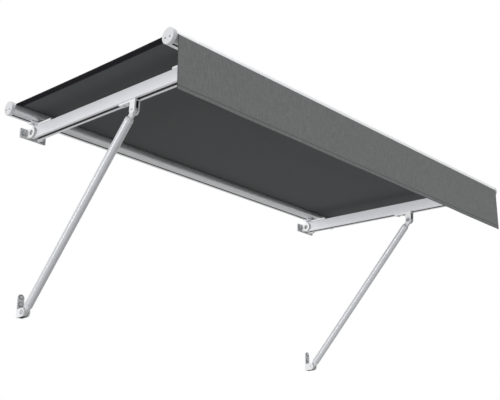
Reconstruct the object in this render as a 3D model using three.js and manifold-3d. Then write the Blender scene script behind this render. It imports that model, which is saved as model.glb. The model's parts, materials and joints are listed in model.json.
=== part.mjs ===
// Fabric awning with a tilting frame, in millimetres, +Z up.
//
// X runs along the wall, the wall plane is y = 0 and the awning reaches out to -Y. The origin
// lies on the wall plane, midway between the two wall brackets, at the height of the tilt
// pivots. Two box rails turn in the wall brackets, two round struts stand on feet below them
// and hold the rails by clevises that slide in a slot, and the cloth is stretched between a
// rear tube and a front tube, with a valance hanging from the front tube.

import * as THREE from 'three';
import { mergeVertices } from 'three/addons/utils/BufferGeometryUtils.js';
import Module from 'manifold-3d';

const wasm = await Module();
wasm.setup();

// Whole frame
const SLOPE_DEG = 4.36;        // fall of the rails towards the front
const PIVOT_OUT = 48;          // tilt pivot in front of the wall
const FOOT_DROP = 996;         // foot pin below the tilt pivot
const FOOT_PIN_OUT = 50;       // foot pin in front of the wall
const CLEVIS_ALONG = 857.9;    // clevis pin, measured along the rail from the tilt pivot
const CLEVIS_PIN_DROP = 53.5;  // clevis pin below the underside of the rail

// Clearances
const SEAT = 0.3;              // between pieces that rest on each other
const RUNNING = 0.3;           // radial, between a pin and its hole
const PAST = 1;                // how far a cut, or a joined solid, runs past a face
const OPEN_PIVOT = 8.7;        // radial, in the strut head, where the linkage is opened

// Rail section and length
const RAIL_WIDTH = 50;
const RAIL_ABOVE = 38;         // top of the rail above the pivot axis
const RAIL_BELOW = 27;         // underside of the rail below it
const RAIL_WALL = 3;
const RAIL_CORNER = 2.5;
const RAIL_REAR = 14;          // rail behind the pivot
const RAIL_FRONT = 1345;       // rail in front of the pivot
const SLOT_MOUTH = 20;
const SLOT_LIP = 3.5;
const SLOT_WIDE = 32;
const SLOT_DEEP = 9.5;

// Tubes and their caps
const TUBE_RADIUS = 39;
const TUBE_WALL = 2.2;
const TUBE_ABOVE = 83.5;       // tube centre above the pivot axis
const REAR_TUBE_ALONG = 11.9;
const FRONT_TUBE_ALONG = 1317.5;
const TUBE_HALF = 1324.3;
const TUBE_SHIFT = 17.8;       // middle of the tubes, to the right of the middle of the rails
const RAIL_INSET = 195.3;      // rail centres in from the ends of the tubes, on average
const CAP_THICK = 20;
const CAP_ROUND = 2.5;
const CAP_PLUG_RADIUS = 22;
const CAP_PLUG_LONG = 14;
const CAP_SCREW_SIDE = 15;
const CAP_SCREW_DROP = 8;
const CAP_SCREW_RADIUS = 3.6;
const CAP_SCREW_PROUD = 1.4;
const WELT_RADIUS = 4;         // the rope in the cloth's edge
const WELT_PLAY = 0.4;         // radial, between the rope and its groove
const WELT_SLOT_DEPTH = 6.6;   // its centre below the tube's surface
const WELT_SLOT_MOUTH = 3.6;
const WELT_SLOT_WALL = 2.2;
const DECK_SLOT_DEG = 38;      // up from the line of the rails, on the facing sides of the tubes
const VALANCE_SLOT_DEG = 4.4;
const LUG_SLOT_DEG = 290;      // at the bottom, leaning to the front
const LUG_SLOT_MOUTH = 8.4;
const LUG_SLOT_WIDE = 15;
const LUG_SLOT_DEEP = 7;
const LUG_SLOT_LIP = 2.4;

// Saddles between rail and tube
const SADDLE_PLATE = 10.5;
const SADDLE_REACH_REAR = 147; // along the rail, from under the tube's centre
const SADDLE_REACH_FRONT = 167;
const SADDLE_TAIL = 24;        // on the other side of it
const SADDLE_HALF = 62;        // along the tube
const SADDLE_BAND = 6.2;
const SADDLE_BAND_DEG = 42;    // each side of straight down
const SADDLE_BOLT_SIDE = 48;
const SADDLE_BOLT_RADIUS = 3;
const SADDLE_NUT_RADIUS = 5.8;
const SADDLE_NUT_HIGH = 6;
const SADDLE_BOLT_PROUD = 2;   // of the nut

// Wall brackets
const BRACKET_WIDE = 160;
const BRACKET_HIGH = 55;
const BRACKET_PLATE = 8;
const BRACKET_CORNER = 4;
const CHEEK_THICK = 13;
const CHEEK_RADIUS = 30.5;
const CHEEK_GAP = 0.7;
const CHEEK_WEB_HIGH = 50;
const CHEEK_RECESS_RADIUS = 14.5;
const CHEEK_RECESS_DEEP = 6.5;
const PIVOT_RADIUS = 6;
const PIVOT_HEAD_RADIUS = 10.5;
const PIVOT_HEAD_HIGH = 5.5;
const PIVOT_SOCKET_RADIUS = 5.8;
const PIVOT_SOCKET_DEEP = 4;
const WALL_BOLT_SIDE = 60;
const WALL_BOLT_RADIUS = 4;
const WALL_BOLT_HEAD_RADIUS = 9.2;
const WALL_BOLT_HEAD_HIGH = 6;
const WASHER_THICK = 1.8;
const WASHER_RIM = 1.8;        // beyond the bolt head

// Plugs in the rail ends
const KNUCKLE_LONG = 60;
const KNUCKLE_FLANGE = 3;
const FRONT_CAP_FLANGE = 3;
const FRONT_CAP_PLUG = 18;

// Clevis under the rail, its nut, its screws and its pin
const CLEVIS_HALF = 16;
const CLEVIS_EAR = 9;
const CLEVIS_EAR_RADIUS = 20;
const CLEVIS_BASE = 8;
const CLEVIS_FLANGE = 88;
const CLEVIS_SCREW_AT = [44, 84];
const CLEVIS_SCREW_RADIUS = 4;
const CLEVIS_SCREW_HEAD_RADIUS = 9.5;
const CLEVIS_SCREW_HEAD_HIGH = 6;
const NUT_LONG = 110;
const NUT_HIGH = 6;
const NUT_PLAY = 0.5;
const PIN_RADIUS = 5;
const RING_RADIUS = 14;
const RING_HIGH = 3;
const RING_DISH_RADIUS = 8.5;
const RING_DISH_DEEP = 1;
const PIN_END_RADIUS = 5.6;
const PIN_END_HIGH = 1.5;

// Struts
const STRUT_RADIUS = 22;
const STRUT_WALL = 2.5;
const HEAD_COLLAR_AT = 54;
const SHOE_COLLAR_AT = 44;
const COLLAR_HIGH = 7;
const COLLAR_PROUD = 0.7;
const SHOULDER_LONG = 16;      // rounded shoulder between the collar and the tongue
const SHOULDER_TOP_RADIUS = 13;
const STRUT_PLUG_LONG = 34;
const EYE_RADIUS = 18;
const TONGUE_PLAY = 0.4;       // between the tongue and each ear of its fork
const TONGUE_WIDE = 32;
const FITTING_SCREW_BACK = 7;  // from the collar
const FITTING_SCREW_RADIUS = 4.2;
const FITTING_SCREW_PROUD = 0.6;

// Strut feet
const FOOT_HALF = 20;
const FOOT_PLATE = 6;
const FOOT_EAR = 10;
const FOOT_EAR_RADIUS = 22;
const FOOT_BELOW = 22;
const FOOT_ABOVE = 105;
const FOOT_BOLT_UP = [50, 89];
const FOOT_BOLT_RADIUS = 4;
const FOOT_BOLT_HEAD_RADIUS = 7.8;
const FOOT_BOLT_HEAD_HIGH = 5.5;

// Cloth
const CLOTH_THICK = 1.2;
const HEM_THICK = 2.2;
const DECK_SHORT = 5;          // shorter than the tube at each end
const DECK_HEM = 39;
const DECK_CLEAR = 1.5;        // the cloth turns this far outside the tube
const VALANCE_SHORT = 4.5;     // shorter than the tube at each end
const VALANCE_DROP = 260;      // lower edge below the front tube's centre
const VALANCE_HEM = 20;
const VALANCE_CLEAR = 3;

// Facets on round pieces
const FACETS_TUBE = 40;
const FACETS_ROUND = 24;
const FACETS_SMALL = 12;
const FACETS_CORNER = 3;
const SHOULDER_STEPS = 3;

const slope = THREE.MathUtils.degToRad(SLOPE_DEG);
const railX = TUBE_HALF - RAIL_INSET;
const railHalf = RAIL_WIDTH / 2;
const clevisPinLevel = -RAIL_BELOW - CLEVIS_PIN_DROP;
const capOuter = TUBE_HALF + SEAT + CAP_THICK;
const deckHalf = TUBE_HALF - DECK_SHORT;
const valanceHalf = TUBE_HALF - VALANCE_SHORT;

const finish = {
  whitePaint: { color: 0xe4e5ea, roughness: 0.35, metalness: 0.1 },
  anodised: { color: 0xd0d1d6, roughness: 0.35, metalness: 0.6 },
  casting: { color: 0xd6d7da, roughness: 0.45, metalness: 0.3 },
  zinc: { color: 0x8d8f92, roughness: 0.5, metalness: 0.7 },
  steel: { color: 0xa8aaad, roughness: 0.35, metalness: 0.9 },
  capPlastic: { color: 0xe8e9ee, roughness: 0.4, metalness: 0 },
  deckCloth: { color: 0x424444, roughness: 0.95, metalness: 0 },
  valanceCloth: { color: 0x6c6e6e, roughness: 0.95, metalness: 0 },
};

// Solids

function toManifold(geometry) {
  const bare = geometry.clone();
  bare.deleteAttribute('normal');
  bare.deleteAttribute('uv');
  const merged = mergeVertices(bare, 1e-4);
  return new wasm.Manifold(new wasm.Mesh({
    numProp: 3,
    vertProperties: new Float32Array(merged.attributes.position.array),
    triVerts: new Uint32Array(merged.index.array),
  }));
}

function toGeometry(manifold) {
  const mesh = manifold.getMesh();
  const geometry = new THREE.BufferGeometry();
  geometry.setAttribute('position', new THREE.BufferAttribute(new Float32Array(mesh.vertProperties), 3));
  geometry.setIndex(new THREE.BufferAttribute(new Uint32Array(mesh.triVerts), 1));
  geometry.computeVertexNormals();
  return geometry;
}

const join = (...solids) => solids.reduce((sum, next) => sum.add(next));
const cut = (solid, ...tools) => tools.reduce((rest, tool) => rest.subtract(tool), solid);

// A point given by its place along the wall, its distance out from the wall and its height.
const at = (x, out, up) => new THREE.Vector3(x, -out, up);

function extrude(shape, length, facets) {
  return new THREE.ExtrudeGeometry(shape, { depth: length, bevelEnabled: false, curveSegments: facets });
}

// A section drawn in (out, up), swept along X from x0 to x1.
function alongX(shape, x0, x1, facets = FACETS_SMALL) {
  const turn = new THREE.Matrix4().makeBasis(
    new THREE.Vector3(0, -1, 0), new THREE.Vector3(0, 0, 1), new THREE.Vector3(-1, 0, 0));
  const geometry = extrude(shape, x1 - x0, facets).applyMatrix4(turn).translate(x1, 0, 0);
  return toManifold(geometry);
}

// A section drawn in (x, up), swept outwards from out0 to out1.
function alongOut(shape, out0, out1, facets = FACETS_SMALL) {
  const turn = new THREE.Matrix4().makeBasis(
    new THREE.Vector3(1, 0, 0), new THREE.Vector3(0, 0, 1), new THREE.Vector3(0, -1, 0));
  const geometry = extrude(shape, out1 - out0, facets).applyMatrix4(turn).translate(0, -out0, 0);
  return toManifold(geometry);
}

function box(x0, x1, out0, out1, up0, up1) {
  const geometry = new THREE.BoxGeometry(x1 - x0, out1 - out0, up1 - up0);
  return toManifold(geometry.translate((x0 + x1) / 2, -(out0 + out1) / 2, (up0 + up1) / 2));
}

// A round or, with six facets, hexagonal bar between two points.
function rod(from, to, radius, facets = FACETS_SMALL) {
  const span = new THREE.Vector3().subVectors(to, from);
  const geometry = new THREE.CylinderGeometry(radius, radius, span.length(), facets);
  const turn = new THREE.Quaternion().setFromUnitVectors(new THREE.Vector3(0, 1, 0), span.clone().normalize());
  const middle = new THREE.Vector3().addVectors(from, to).multiplyScalar(0.5);
  return toManifold(geometry.applyQuaternion(turn).translate(middle.x, middle.y, middle.z));
}

// A solid turned about the vertical axis from points of (radius, up).
function turned(points, facets) {
  const outline = points.map(([radius, up]) => new THREE.Vector2(radius, up));
  return toManifold(new THREE.LatheGeometry(outline, facets).rotateX(Math.PI / 2));
}

// A rectangle with its four corners rounded.
function roundedRect(x0, x1, y0, y1, radius) {
  const shape = new THREE.Shape();
  shape.moveTo(x0 + radius, y0);
  shape.lineTo(x1 - radius, y0);
  shape.absarc(x1 - radius, y0 + radius, radius, -Math.PI / 2, 0);
  shape.lineTo(x1, y1 - radius);
  shape.absarc(x1 - radius, y1 - radius, radius, 0, Math.PI / 2);
  shape.lineTo(x0 + radius, y1);
  shape.absarc(x0 + radius, y1 - radius, radius, Math.PI / 2, Math.PI);
  shape.lineTo(x0, y0 + radius);
  shape.absarc(x0 + radius, y0 + radius, radius, Math.PI, Math.PI * 1.5);
  return shape;
}

// A strip of cloth that follows a line of points, with mitred bends.
function ribbon(points, thickness) {
  const left = [];
  const right = [];
  points.forEach((point, i) => {
    const before = points[Math.max(i - 1, 0)];
    const after = points[Math.min(i + 1, points.length - 1)];
    const into = new THREE.Vector2().subVectors(i > 0 ? point : after, i > 0 ? before : point).normalize();
    const away = new THREE.Vector2().subVectors(i < points.length - 1 ? after : point,
      i < points.length - 1 ? point : before).normalize();
    const middle = new THREE.Vector2().addVectors(into, away).normalize();
    const normal = new THREE.Vector2(-middle.y, middle.x);
    const stretch = thickness / 2 / Math.max(middle.dot(into), 0.3);
    left.push(point.clone().addScaledVector(normal, stretch));
    right.unshift(point.clone().addScaledVector(normal, -stretch));
  });
  return new THREE.Shape([...left, ...right]);
}

function piece(name, solid, look) {
  const mesh = new THREE.Mesh(toGeometry(solid), new THREE.MeshStandardMaterial(look));
  mesh.name = name;
  return mesh;
}

// A direction in (out, up) at an angle from straight out.
function ray(degrees, radius) {
  const angle = THREE.MathUtils.degToRad(degrees);
  return new THREE.Vector2(Math.cos(angle) * radius, Math.sin(angle) * radius);
}

// Wall brackets: a plate with two round cheeks that hold the rail's end between them

function wallBracket() {
  const inner = railHalf + CHEEK_GAP;
  const outer = inner + CHEEK_THICK;
  const plate = alongOut(roundedRect(-BRACKET_WIDE / 2, BRACKET_WIDE / 2,
    -BRACKET_HIGH / 2, BRACKET_HIGH / 2, BRACKET_CORNER), 0, BRACKET_PLATE, FACETS_CORNER);
  const cheeks = [-1, 1].map((side) => {
    const x0 = side > 0 ? inner : -outer;
    const x1 = x0 + CHEEK_THICK;
    const disc = rod(at(x0, PIVOT_OUT, 0), at(x1, PIVOT_OUT, 0), CHEEK_RADIUS, FACETS_ROUND);
    const web = box(x0, x1, BRACKET_PLATE / 2, PIVOT_OUT, -CHEEK_WEB_HIGH / 2, CHEEK_WEB_HIGH / 2);
    const face = side * outer;
    const recess = rod(at(face - side * CHEEK_RECESS_DEEP, PIVOT_OUT, 0),
      at(face + side * PAST, PIVOT_OUT, 0), CHEEK_RECESS_RADIUS, FACETS_ROUND);
    return cut(join(disc, web), recess);
  });
  const bore = rod(at(-outer - PAST, PIVOT_OUT, 0), at(outer + PAST, PIVOT_OUT, 0),
    PIVOT_RADIUS + RUNNING, FACETS_SMALL);
  const boltHoles = [-1, 1].map((side) => rod(at(side * WALL_BOLT_SIDE, -PAST, 0),
    at(side * WALL_BOLT_SIDE, BRACKET_PLATE + PAST, 0), WALL_BOLT_RADIUS + RUNNING));
  return cut(join(plate, ...cheeks), bore, ...boltHoles);
}

// The bolt that the rail turns on, with a socket head and a hexagon nut in the cheeks' recesses
function pivotBolt() {
  const floor = railHalf + CHEEK_GAP + CHEEK_THICK - CHEEK_RECESS_DEEP + SEAT;
  const shank = rod(at(-floor, PIVOT_OUT, 0), at(floor, PIVOT_OUT, 0), PIVOT_RADIUS);
  const head = rod(at(-floor - PIVOT_HEAD_HIGH, PIVOT_OUT, 0), at(-floor, PIVOT_OUT, 0),
    PIVOT_HEAD_RADIUS, FACETS_ROUND);
  const nut = rod(at(floor, PIVOT_OUT, 0), at(floor + PIVOT_HEAD_HIGH, PIVOT_OUT, 0), PIVOT_HEAD_RADIUS, 6);
  const socket = rod(at(-floor - PIVOT_HEAD_HIGH - PAST, PIVOT_OUT, 0),
    at(-floor - PIVOT_HEAD_HIGH + PIVOT_SOCKET_DEEP, PIVOT_OUT, 0), PIVOT_SOCKET_RADIUS, 6);
  return cut(join(shank, head, nut), socket);
}

// A hexagon bolt with its washer, lying along the wall's normal at (0, 0)
function platedBolt(plate, radius, headRadius, headHigh) {
  const seat = plate + SEAT;
  return join(
    rod(at(0, SEAT, 0), at(0, seat, 0), radius),
    rod(at(0, seat, 0), at(0, seat + WASHER_THICK, 0), headRadius + WASHER_RIM, FACETS_SMALL),
    rod(at(0, seat + WASHER_THICK, 0), at(0, seat + WASHER_THICK + headHigh, 0), headRadius, 6));
}

// Strut feet: a plate with a rounded top and two ears

function strutFoot() {
  const plateShape = new THREE.Shape();
  plateShape.moveTo(-FOOT_HALF, -FOOT_BELOW);
  plateShape.lineTo(FOOT_HALF, -FOOT_BELOW);
  plateShape.lineTo(FOOT_HALF, FOOT_ABOVE - FOOT_HALF);
  plateShape.absarc(0, FOOT_ABOVE - FOOT_HALF, FOOT_HALF, 0, Math.PI);
  const plate = alongOut(plateShape, 0, FOOT_PLATE);
  const ears = [-1, 1].map((side) => {
    const x0 = side > 0 ? FOOT_HALF - FOOT_EAR : -FOOT_HALF;
    const x1 = x0 + FOOT_EAR;
    return join(
      box(x0, x1, FOOT_PLATE / 2, FOOT_PIN_OUT, -FOOT_EAR_RADIUS, FOOT_EAR_RADIUS),
      rod(at(x0, FOOT_PIN_OUT, 0), at(x1, FOOT_PIN_OUT, 0), FOOT_EAR_RADIUS, FACETS_ROUND));
  });
  const bore = rod(at(-FOOT_HALF - PAST, FOOT_PIN_OUT, 0), at(FOOT_HALF + PAST, FOOT_PIN_OUT, 0),
    PIN_RADIUS + RUNNING);
  const boltHoles = FOOT_BOLT_UP.map((up) => rod(at(0, -PAST, up), at(0, FOOT_PLATE + PAST, up),
    FOOT_BOLT_RADIUS + RUNNING));
  return cut(join(plate, ...ears), bore, ...boltHoles);
}

// A pin through a fork: a dished ring on one side, a small riveted end on the other.
// side says which face of the fork carries the ring.
function forkPin(half, side) {
  const face = half + SEAT;
  const ringOut = side * (face + RING_HIGH);
  const span = (x0, x1, radius, facets) => rod(at(Math.min(x0, x1), 0, 0), at(Math.max(x0, x1), 0, 0),
    radius, facets);
  const ring = cut(span(side * face, ringOut, RING_RADIUS, FACETS_ROUND),
    span(ringOut - side * RING_DISH_DEEP, ringOut + side * PAST, RING_DISH_RADIUS, FACETS_ROUND));
  return join(span(-side * face, side * face, PIN_RADIUS, FACETS_SMALL), ring,
    span(-side * face, -side * (face + PIN_END_HIGH), PIN_END_RADIUS, FACETS_SMALL));
}

// Rails: a hollow box section with an undercut slot along its underside

function railSection() {
  const shape = new THREE.Shape();
  const bottom = -RAIL_BELOW;
  const lipTop = bottom + SLOT_LIP;
  const slotTop = lipTop + SLOT_DEEP;
  const mouth = SLOT_MOUTH / 2;
  const wide = SLOT_WIDE / 2;
  shape.moveTo(mouth, bottom);
  shape.lineTo(railHalf - RAIL_CORNER, bottom);
  shape.absarc(railHalf - RAIL_CORNER, bottom + RAIL_CORNER, RAIL_CORNER, -Math.PI / 2, 0);
  shape.lineTo(railHalf, RAIL_ABOVE - RAIL_CORNER);
  shape.absarc(railHalf - RAIL_CORNER, RAIL_ABOVE - RAIL_CORNER, RAIL_CORNER, 0, Math.PI / 2);
  shape.lineTo(RAIL_CORNER - railHalf, RAIL_ABOVE);
  shape.absarc(RAIL_CORNER - railHalf, RAIL_ABOVE - RAIL_CORNER, RAIL_CORNER, Math.PI / 2, Math.PI);
  shape.lineTo(-railHalf, bottom + RAIL_CORNER);
  shape.absarc(RAIL_CORNER - railHalf, bottom + RAIL_CORNER, RAIL_CORNER, Math.PI, Math.PI * 1.5);
  shape.lineTo(-mouth, bottom);
  shape.lineTo(-mouth, lipTop);
  shape.lineTo(-wide, lipTop);
  shape.lineTo(-wide, slotTop);
  shape.lineTo(wide, slotTop);
  shape.lineTo(wide, lipTop);
  shape.lineTo(mouth, lipTop);
  const room = chamber(0);
  const hole = new THREE.Path();
  hole.moveTo(room.x0, room.up0);
  hole.lineTo(room.x1, room.up0);
  hole.lineTo(room.x1, room.up1);
  hole.lineTo(room.x0, room.up1);
  shape.holes.push(hole);
  return shape;
}

// The rail's closed chamber above the slot, drawn in by a clearance
function chamber(clearance) {
  return {
    x0: RAIL_WALL + clearance - railHalf,
    x1: railHalf - RAIL_WALL - clearance,
    up0: SLOT_LIP + SLOT_DEEP + RAIL_WALL - RAIL_BELOW + clearance,
    up1: RAIL_ABOVE - RAIL_WALL - clearance,
  };
}

function rail() {
  const profile = alongOut(railSection(), -RAIL_REAR, RAIL_FRONT, FACETS_CORNER);
  return cut(profile, rod(at(-RAIL_WIDTH, 0, 0), at(RAIL_WIDTH, 0, 0), PIVOT_RADIUS + RUNNING));
}

function chamberBlock(out0, out1) {
  const room = chamber(SEAT);
  return box(room.x0, room.x1, out0, out1, room.up0, room.up1);
}

// The solid end of the rail that takes the pivot bolt
function railKnuckle() {
  const back = -RAIL_REAR - SEAT;
  const flange = alongOut(roundedRect(-railHalf, railHalf, chamber(0).up0 - RAIL_WALL, RAIL_ABOVE,
    RAIL_CORNER), back - KNUCKLE_FLANGE, back, FACETS_CORNER);
  const block = chamberBlock(back - KNUCKLE_FLANGE / 2, back + KNUCKLE_LONG);
  return cut(join(flange, block),
    rod(at(-RAIL_WIDTH, 0, 0), at(RAIL_WIDTH, 0, 0), PIVOT_RADIUS + RUNNING));
}

function railFrontCap() {
  const front = RAIL_FRONT + SEAT;
  const flange = alongOut(roundedRect(-railHalf, railHalf, -RAIL_BELOW, RAIL_ABOVE, RAIL_CORNER),
    front, front + FRONT_CAP_FLANGE, FACETS_CORNER);
  return join(flange, chamberBlock(front - FRONT_CAP_PLUG, front + FRONT_CAP_FLANGE / 2));
}

// Tubes: round, with grooves for the welted cloth and an undercut slot for the saddle bolts

function weltGroove(degrees, x0, x1) {
  const centre = ray(degrees, TUBE_RADIUS - WELT_SLOT_DEPTH);
  const mouth = ray(degrees, TUBE_RADIUS + PAST);
  const room = rod(at(x0, centre.x, centre.y), at(x1, centre.x, centre.y), WELT_RADIUS + WELT_PLAY);
  const way = alongX(ribbon([centre, mouth], WELT_SLOT_MOUTH), x0, x1);
  return join(room, way);
}

function weltBoss(degrees, x0, x1) {
  const centre = ray(degrees, TUBE_RADIUS - WELT_SLOT_DEPTH);
  return rod(at(x0, centre.x, centre.y), at(x1, centre.x, centre.y), WELT_RADIUS + WELT_SLOT_WALL);
}

// A block that lies square to the slot's direction, between two distances from the tube's centre
function slotBlock(from, to, width, x0, x1) {
  return alongX(ribbon([ray(LUG_SLOT_DEG, from), ray(LUG_SLOT_DEG, to)], width), x0, x1);
}

function tube(weltAngles) {
  const x = TUBE_HALF;
  const skin = rod(at(-x, 0, 0), at(x, 0, 0), TUBE_RADIUS, FACETS_TUBE);
  const hollow = rod(at(-x - PAST, 0, 0), at(x + PAST, 0, 0), TUBE_RADIUS - TUBE_WALL, FACETS_TUBE);
  const lip = TUBE_RADIUS - LUG_SLOT_LIP;
  const wall = slotBlock(lip - LUG_SLOT_DEEP - TUBE_WALL, lip, LUG_SLOT_WIDE + 2 * TUBE_WALL, -x, x);
  const room = slotBlock(lip - LUG_SLOT_DEEP, lip, LUG_SLOT_WIDE, -x - PAST, x + PAST);
  const way = slotBlock(lip - PAST, TUBE_RADIUS + PAST, LUG_SLOT_MOUTH, -x - PAST, x + PAST);
  const bosses = weltAngles.map((degrees) => weltBoss(degrees, -x, x));
  const grooves = weltAngles.map((degrees) => weltGroove(degrees, -x - PAST, x + PAST));
  return cut(join(cut(skin, hollow), wall, ...bosses), room, way, ...grooves);
}

// End cap with its two screws, for the end at +X
function tubeCap() {
  const inner = TUBE_HALF + SEAT;
  const bevel = CAP_ROUND * (1 - Math.SQRT1_2);
  const points = [
    new THREE.Vector2(0, inner),
    new THREE.Vector2(TUBE_RADIUS, inner),
    new THREE.Vector2(TUBE_RADIUS, capOuter - CAP_ROUND),
    new THREE.Vector2(TUBE_RADIUS - bevel, capOuter - bevel),
    new THREE.Vector2(TUBE_RADIUS - CAP_ROUND, capOuter),
    new THREE.Vector2(0, capOuter),
  ];
  const disc = new THREE.LatheGeometry(points, FACETS_TUBE).rotateZ(-Math.PI / 2);
  const plug = rod(at(inner - CAP_PLUG_LONG, 0, 0), at(inner + PAST, 0, 0), CAP_PLUG_RADIUS, FACETS_ROUND);
  const screws = [-1, 1].map((side) => rod(at(capOuter - PAST, side * CAP_SCREW_SIDE, -CAP_SCREW_DROP),
    at(capOuter + CAP_SCREW_PROUD, side * CAP_SCREW_SIDE, -CAP_SCREW_DROP), CAP_SCREW_RADIUS));
  return join(toManifold(disc), plug, ...screws);
}

// Saddle: a plate along the rail's top and a cradle under the tube. towards is +1 when the
// plate runs outwards from the tube and -1 when it runs back to the wall. The tube's centre is
// at (0, 0) here, and the rail's top lies TUBE_ABOVE - RAIL_ABOVE below it.
function saddle(towards, reach) {
  const railTop = RAIL_ABOVE - TUBE_ABOVE + SEAT;
  const near = Math.min(towards * reach, -towards * SADDLE_TAIL);
  const far = Math.max(towards * reach, -towards * SADDLE_TAIL);
  const plate = box(-railHalf, railHalf, near, far, railTop, railTop + SADDLE_PLATE);
  const bandOuter = TUBE_RADIUS + SEAT + SADDLE_BAND;
  const sector = new THREE.Shape();
  const start = THREE.MathUtils.degToRad(270 - SADDLE_BAND_DEG);
  const end = THREE.MathUtils.degToRad(270 + SADDLE_BAND_DEG);
  sector.moveTo(0, 0);
  sector.absarc(0, 0, bandOuter, start, end);
  const cradle = alongX(sector, -SADDLE_HALF, SADDLE_HALF, FACETS_SMALL);
  const tubeRoom = rod(at(-SADDLE_HALF - PAST, 0, 0), at(SADDLE_HALF + PAST, 0, 0),
    TUBE_RADIUS + SEAT, FACETS_TUBE);
  const railRoom = box(-railHalf - SEAT, railHalf + SEAT, near - PAST, far + PAST,
    railTop - SADDLE_BAND - SADDLE_PLATE, railTop);
  const holes = [-1, 1].map((side) => {
    const from = ray(LUG_SLOT_DEG, TUBE_RADIUS);
    const to = ray(LUG_SLOT_DEG, bandOuter + SADDLE_BAND);
    const x = side * SADDLE_BOLT_SIDE;
    return rod(at(x, from.x, from.y), at(x, to.x, to.y), SADDLE_BOLT_RADIUS + RUNNING);
  });
  return cut(join(plate, cradle), tubeRoom, railRoom, ...holes);
}

// Hammer-head bolt: its head lies in the tube's slot, its nut under the saddle's cradle
function saddleBolt() {
  const lip = TUBE_RADIUS - LUG_SLOT_LIP;
  const nutFrom = TUBE_RADIUS + SEAT + SADDLE_BAND + SEAT;
  const along = (radius) => {
    const place = ray(LUG_SLOT_DEG, radius);
    return at(0, place.x, place.y);
  };
  const headHalf = LUG_SLOT_WIDE / 2 - SEAT;
  const head = slotBlock(lip - LUG_SLOT_DEEP + PAST, lip - SEAT, 2 * headHalf, -SADDLE_NUT_RADIUS,
    SADDLE_NUT_RADIUS);
  return join(head,
    rod(along(lip - PAST), along(nutFrom + SADDLE_NUT_HIGH + SADDLE_BOLT_PROUD), SADDLE_BOLT_RADIUS),
    rod(along(nutFrom), along(nutFrom + SADDLE_NUT_HIGH), SADDLE_NUT_RADIUS, 6));
}

// Clevis: a flange under the rail, screwed to a nut in the rail's slot, with two ears.
// Its pin is at (0, 0) and the rail's underside CLEVIS_PIN_DROP above it.

function clevis() {
  const top = CLEVIS_PIN_DROP - SEAT;
  const base = box(-CLEVIS_HALF, CLEVIS_HALF, -CLEVIS_EAR_RADIUS - CLEVIS_FLANGE, CLEVIS_EAR_RADIUS,
    top - CLEVIS_BASE, top);
  const ears = [-1, 1].map((side) => {
    const x0 = side > 0 ? CLEVIS_HALF - CLEVIS_EAR : -CLEVIS_HALF;
    const x1 = x0 + CLEVIS_EAR;
    return join(
      box(x0, x1, -CLEVIS_EAR_RADIUS, CLEVIS_EAR_RADIUS, 0, top - CLEVIS_BASE / 2),
      rod(at(x0, 0, 0), at(x1, 0, 0), CLEVIS_EAR_RADIUS, FACETS_ROUND));
  });
  const bore = rod(at(-CLEVIS_HALF - PAST, 0, 0), at(CLEVIS_HALF + PAST, 0, 0),
    PIN_RADIUS + RUNNING);
  return cut(join(base, ...ears), bore, ...CLEVIS_SCREW_AT.map(clevisHole));
}

function clevisHole(back) {
  return rod(at(0, -back, 0), at(0, -back, CLEVIS_PIN_DROP + SLOT_LIP + SLOT_DEEP - PAST),
    CLEVIS_SCREW_RADIUS + RUNNING);
}

function slotNut() {
  const bottom = CLEVIS_PIN_DROP + SLOT_LIP + SEAT;
  const half = SLOT_WIDE / 2 - NUT_PLAY;
  const neck = SLOT_MOUTH / 2 - NUT_PLAY;
  const back = CLEVIS_EAR_RADIUS + CLEVIS_FLANGE;
  const bar = join(
    box(-half, half, -back, NUT_LONG - back, bottom, bottom + NUT_HIGH),
    box(-neck, neck, -back, NUT_LONG - back, CLEVIS_PIN_DROP + SEAT, bottom + PAST));
  return cut(bar, ...CLEVIS_SCREW_AT.map(clevisHole));
}

function clevisScrew(back) {
  const seat = CLEVIS_PIN_DROP - SEAT - CLEVIS_BASE - SEAT;
  const tip = CLEVIS_PIN_DROP + SLOT_LIP + NUT_HIGH;
  return join(
    rod(at(0, -back, seat - CLEVIS_SCREW_HEAD_HIGH), at(0, -back, seat), CLEVIS_SCREW_HEAD_RADIUS, 6),
    rod(at(0, -back, seat - PAST), at(0, -back, tip), CLEVIS_SCREW_RADIUS));
}

// Struts: a round tube with an eye fitting plugged into each end. Along the strut, 0 is the
// foot pin; the fittings are drawn with their own pin at (0, 0) and the tube below it.

function eyeFitting(forkInner, collarAt, hole) {
  const half = forkInner - TONGUE_PLAY;
  const tongueWide = TONGUE_WIDE / 2;
  const tongue = join(
    rod(at(-half, 0, 0), at(half, 0, 0), EYE_RADIUS, FACETS_ROUND),
    box(-half, half, -tongueWide, tongueWide, -collarAt - PAST, 0));
  const collar = rod(at(0, 0, -collarAt - COLLAR_HIGH), at(0, 0, -collarAt),
    STRUT_RADIUS + COLLAR_PROUD, FACETS_ROUND);
  const shoulder = turned(shoulderOutline(collarAt), FACETS_ROUND);
  const plug = rod(at(0, 0, -collarAt - COLLAR_HIGH - STRUT_PLUG_LONG), at(0, 0, -collarAt - PAST),
    STRUT_RADIUS - STRUT_WALL - SEAT, FACETS_ROUND);
  const reach = STRUT_RADIUS + FITTING_SCREW_PROUD;
  const screwUp = FITTING_SCREW_BACK - collarAt;
  const screw = rod(at(-reach, 0, screwUp), at(reach, 0, screwUp), FITTING_SCREW_RADIUS);
  return cut(join(tongue, collar, shoulder, plug, screw),
    rod(at(-half - PAST, 0, 0), at(half + PAST, 0, 0), hole, FACETS_ROUND));
}

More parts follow.
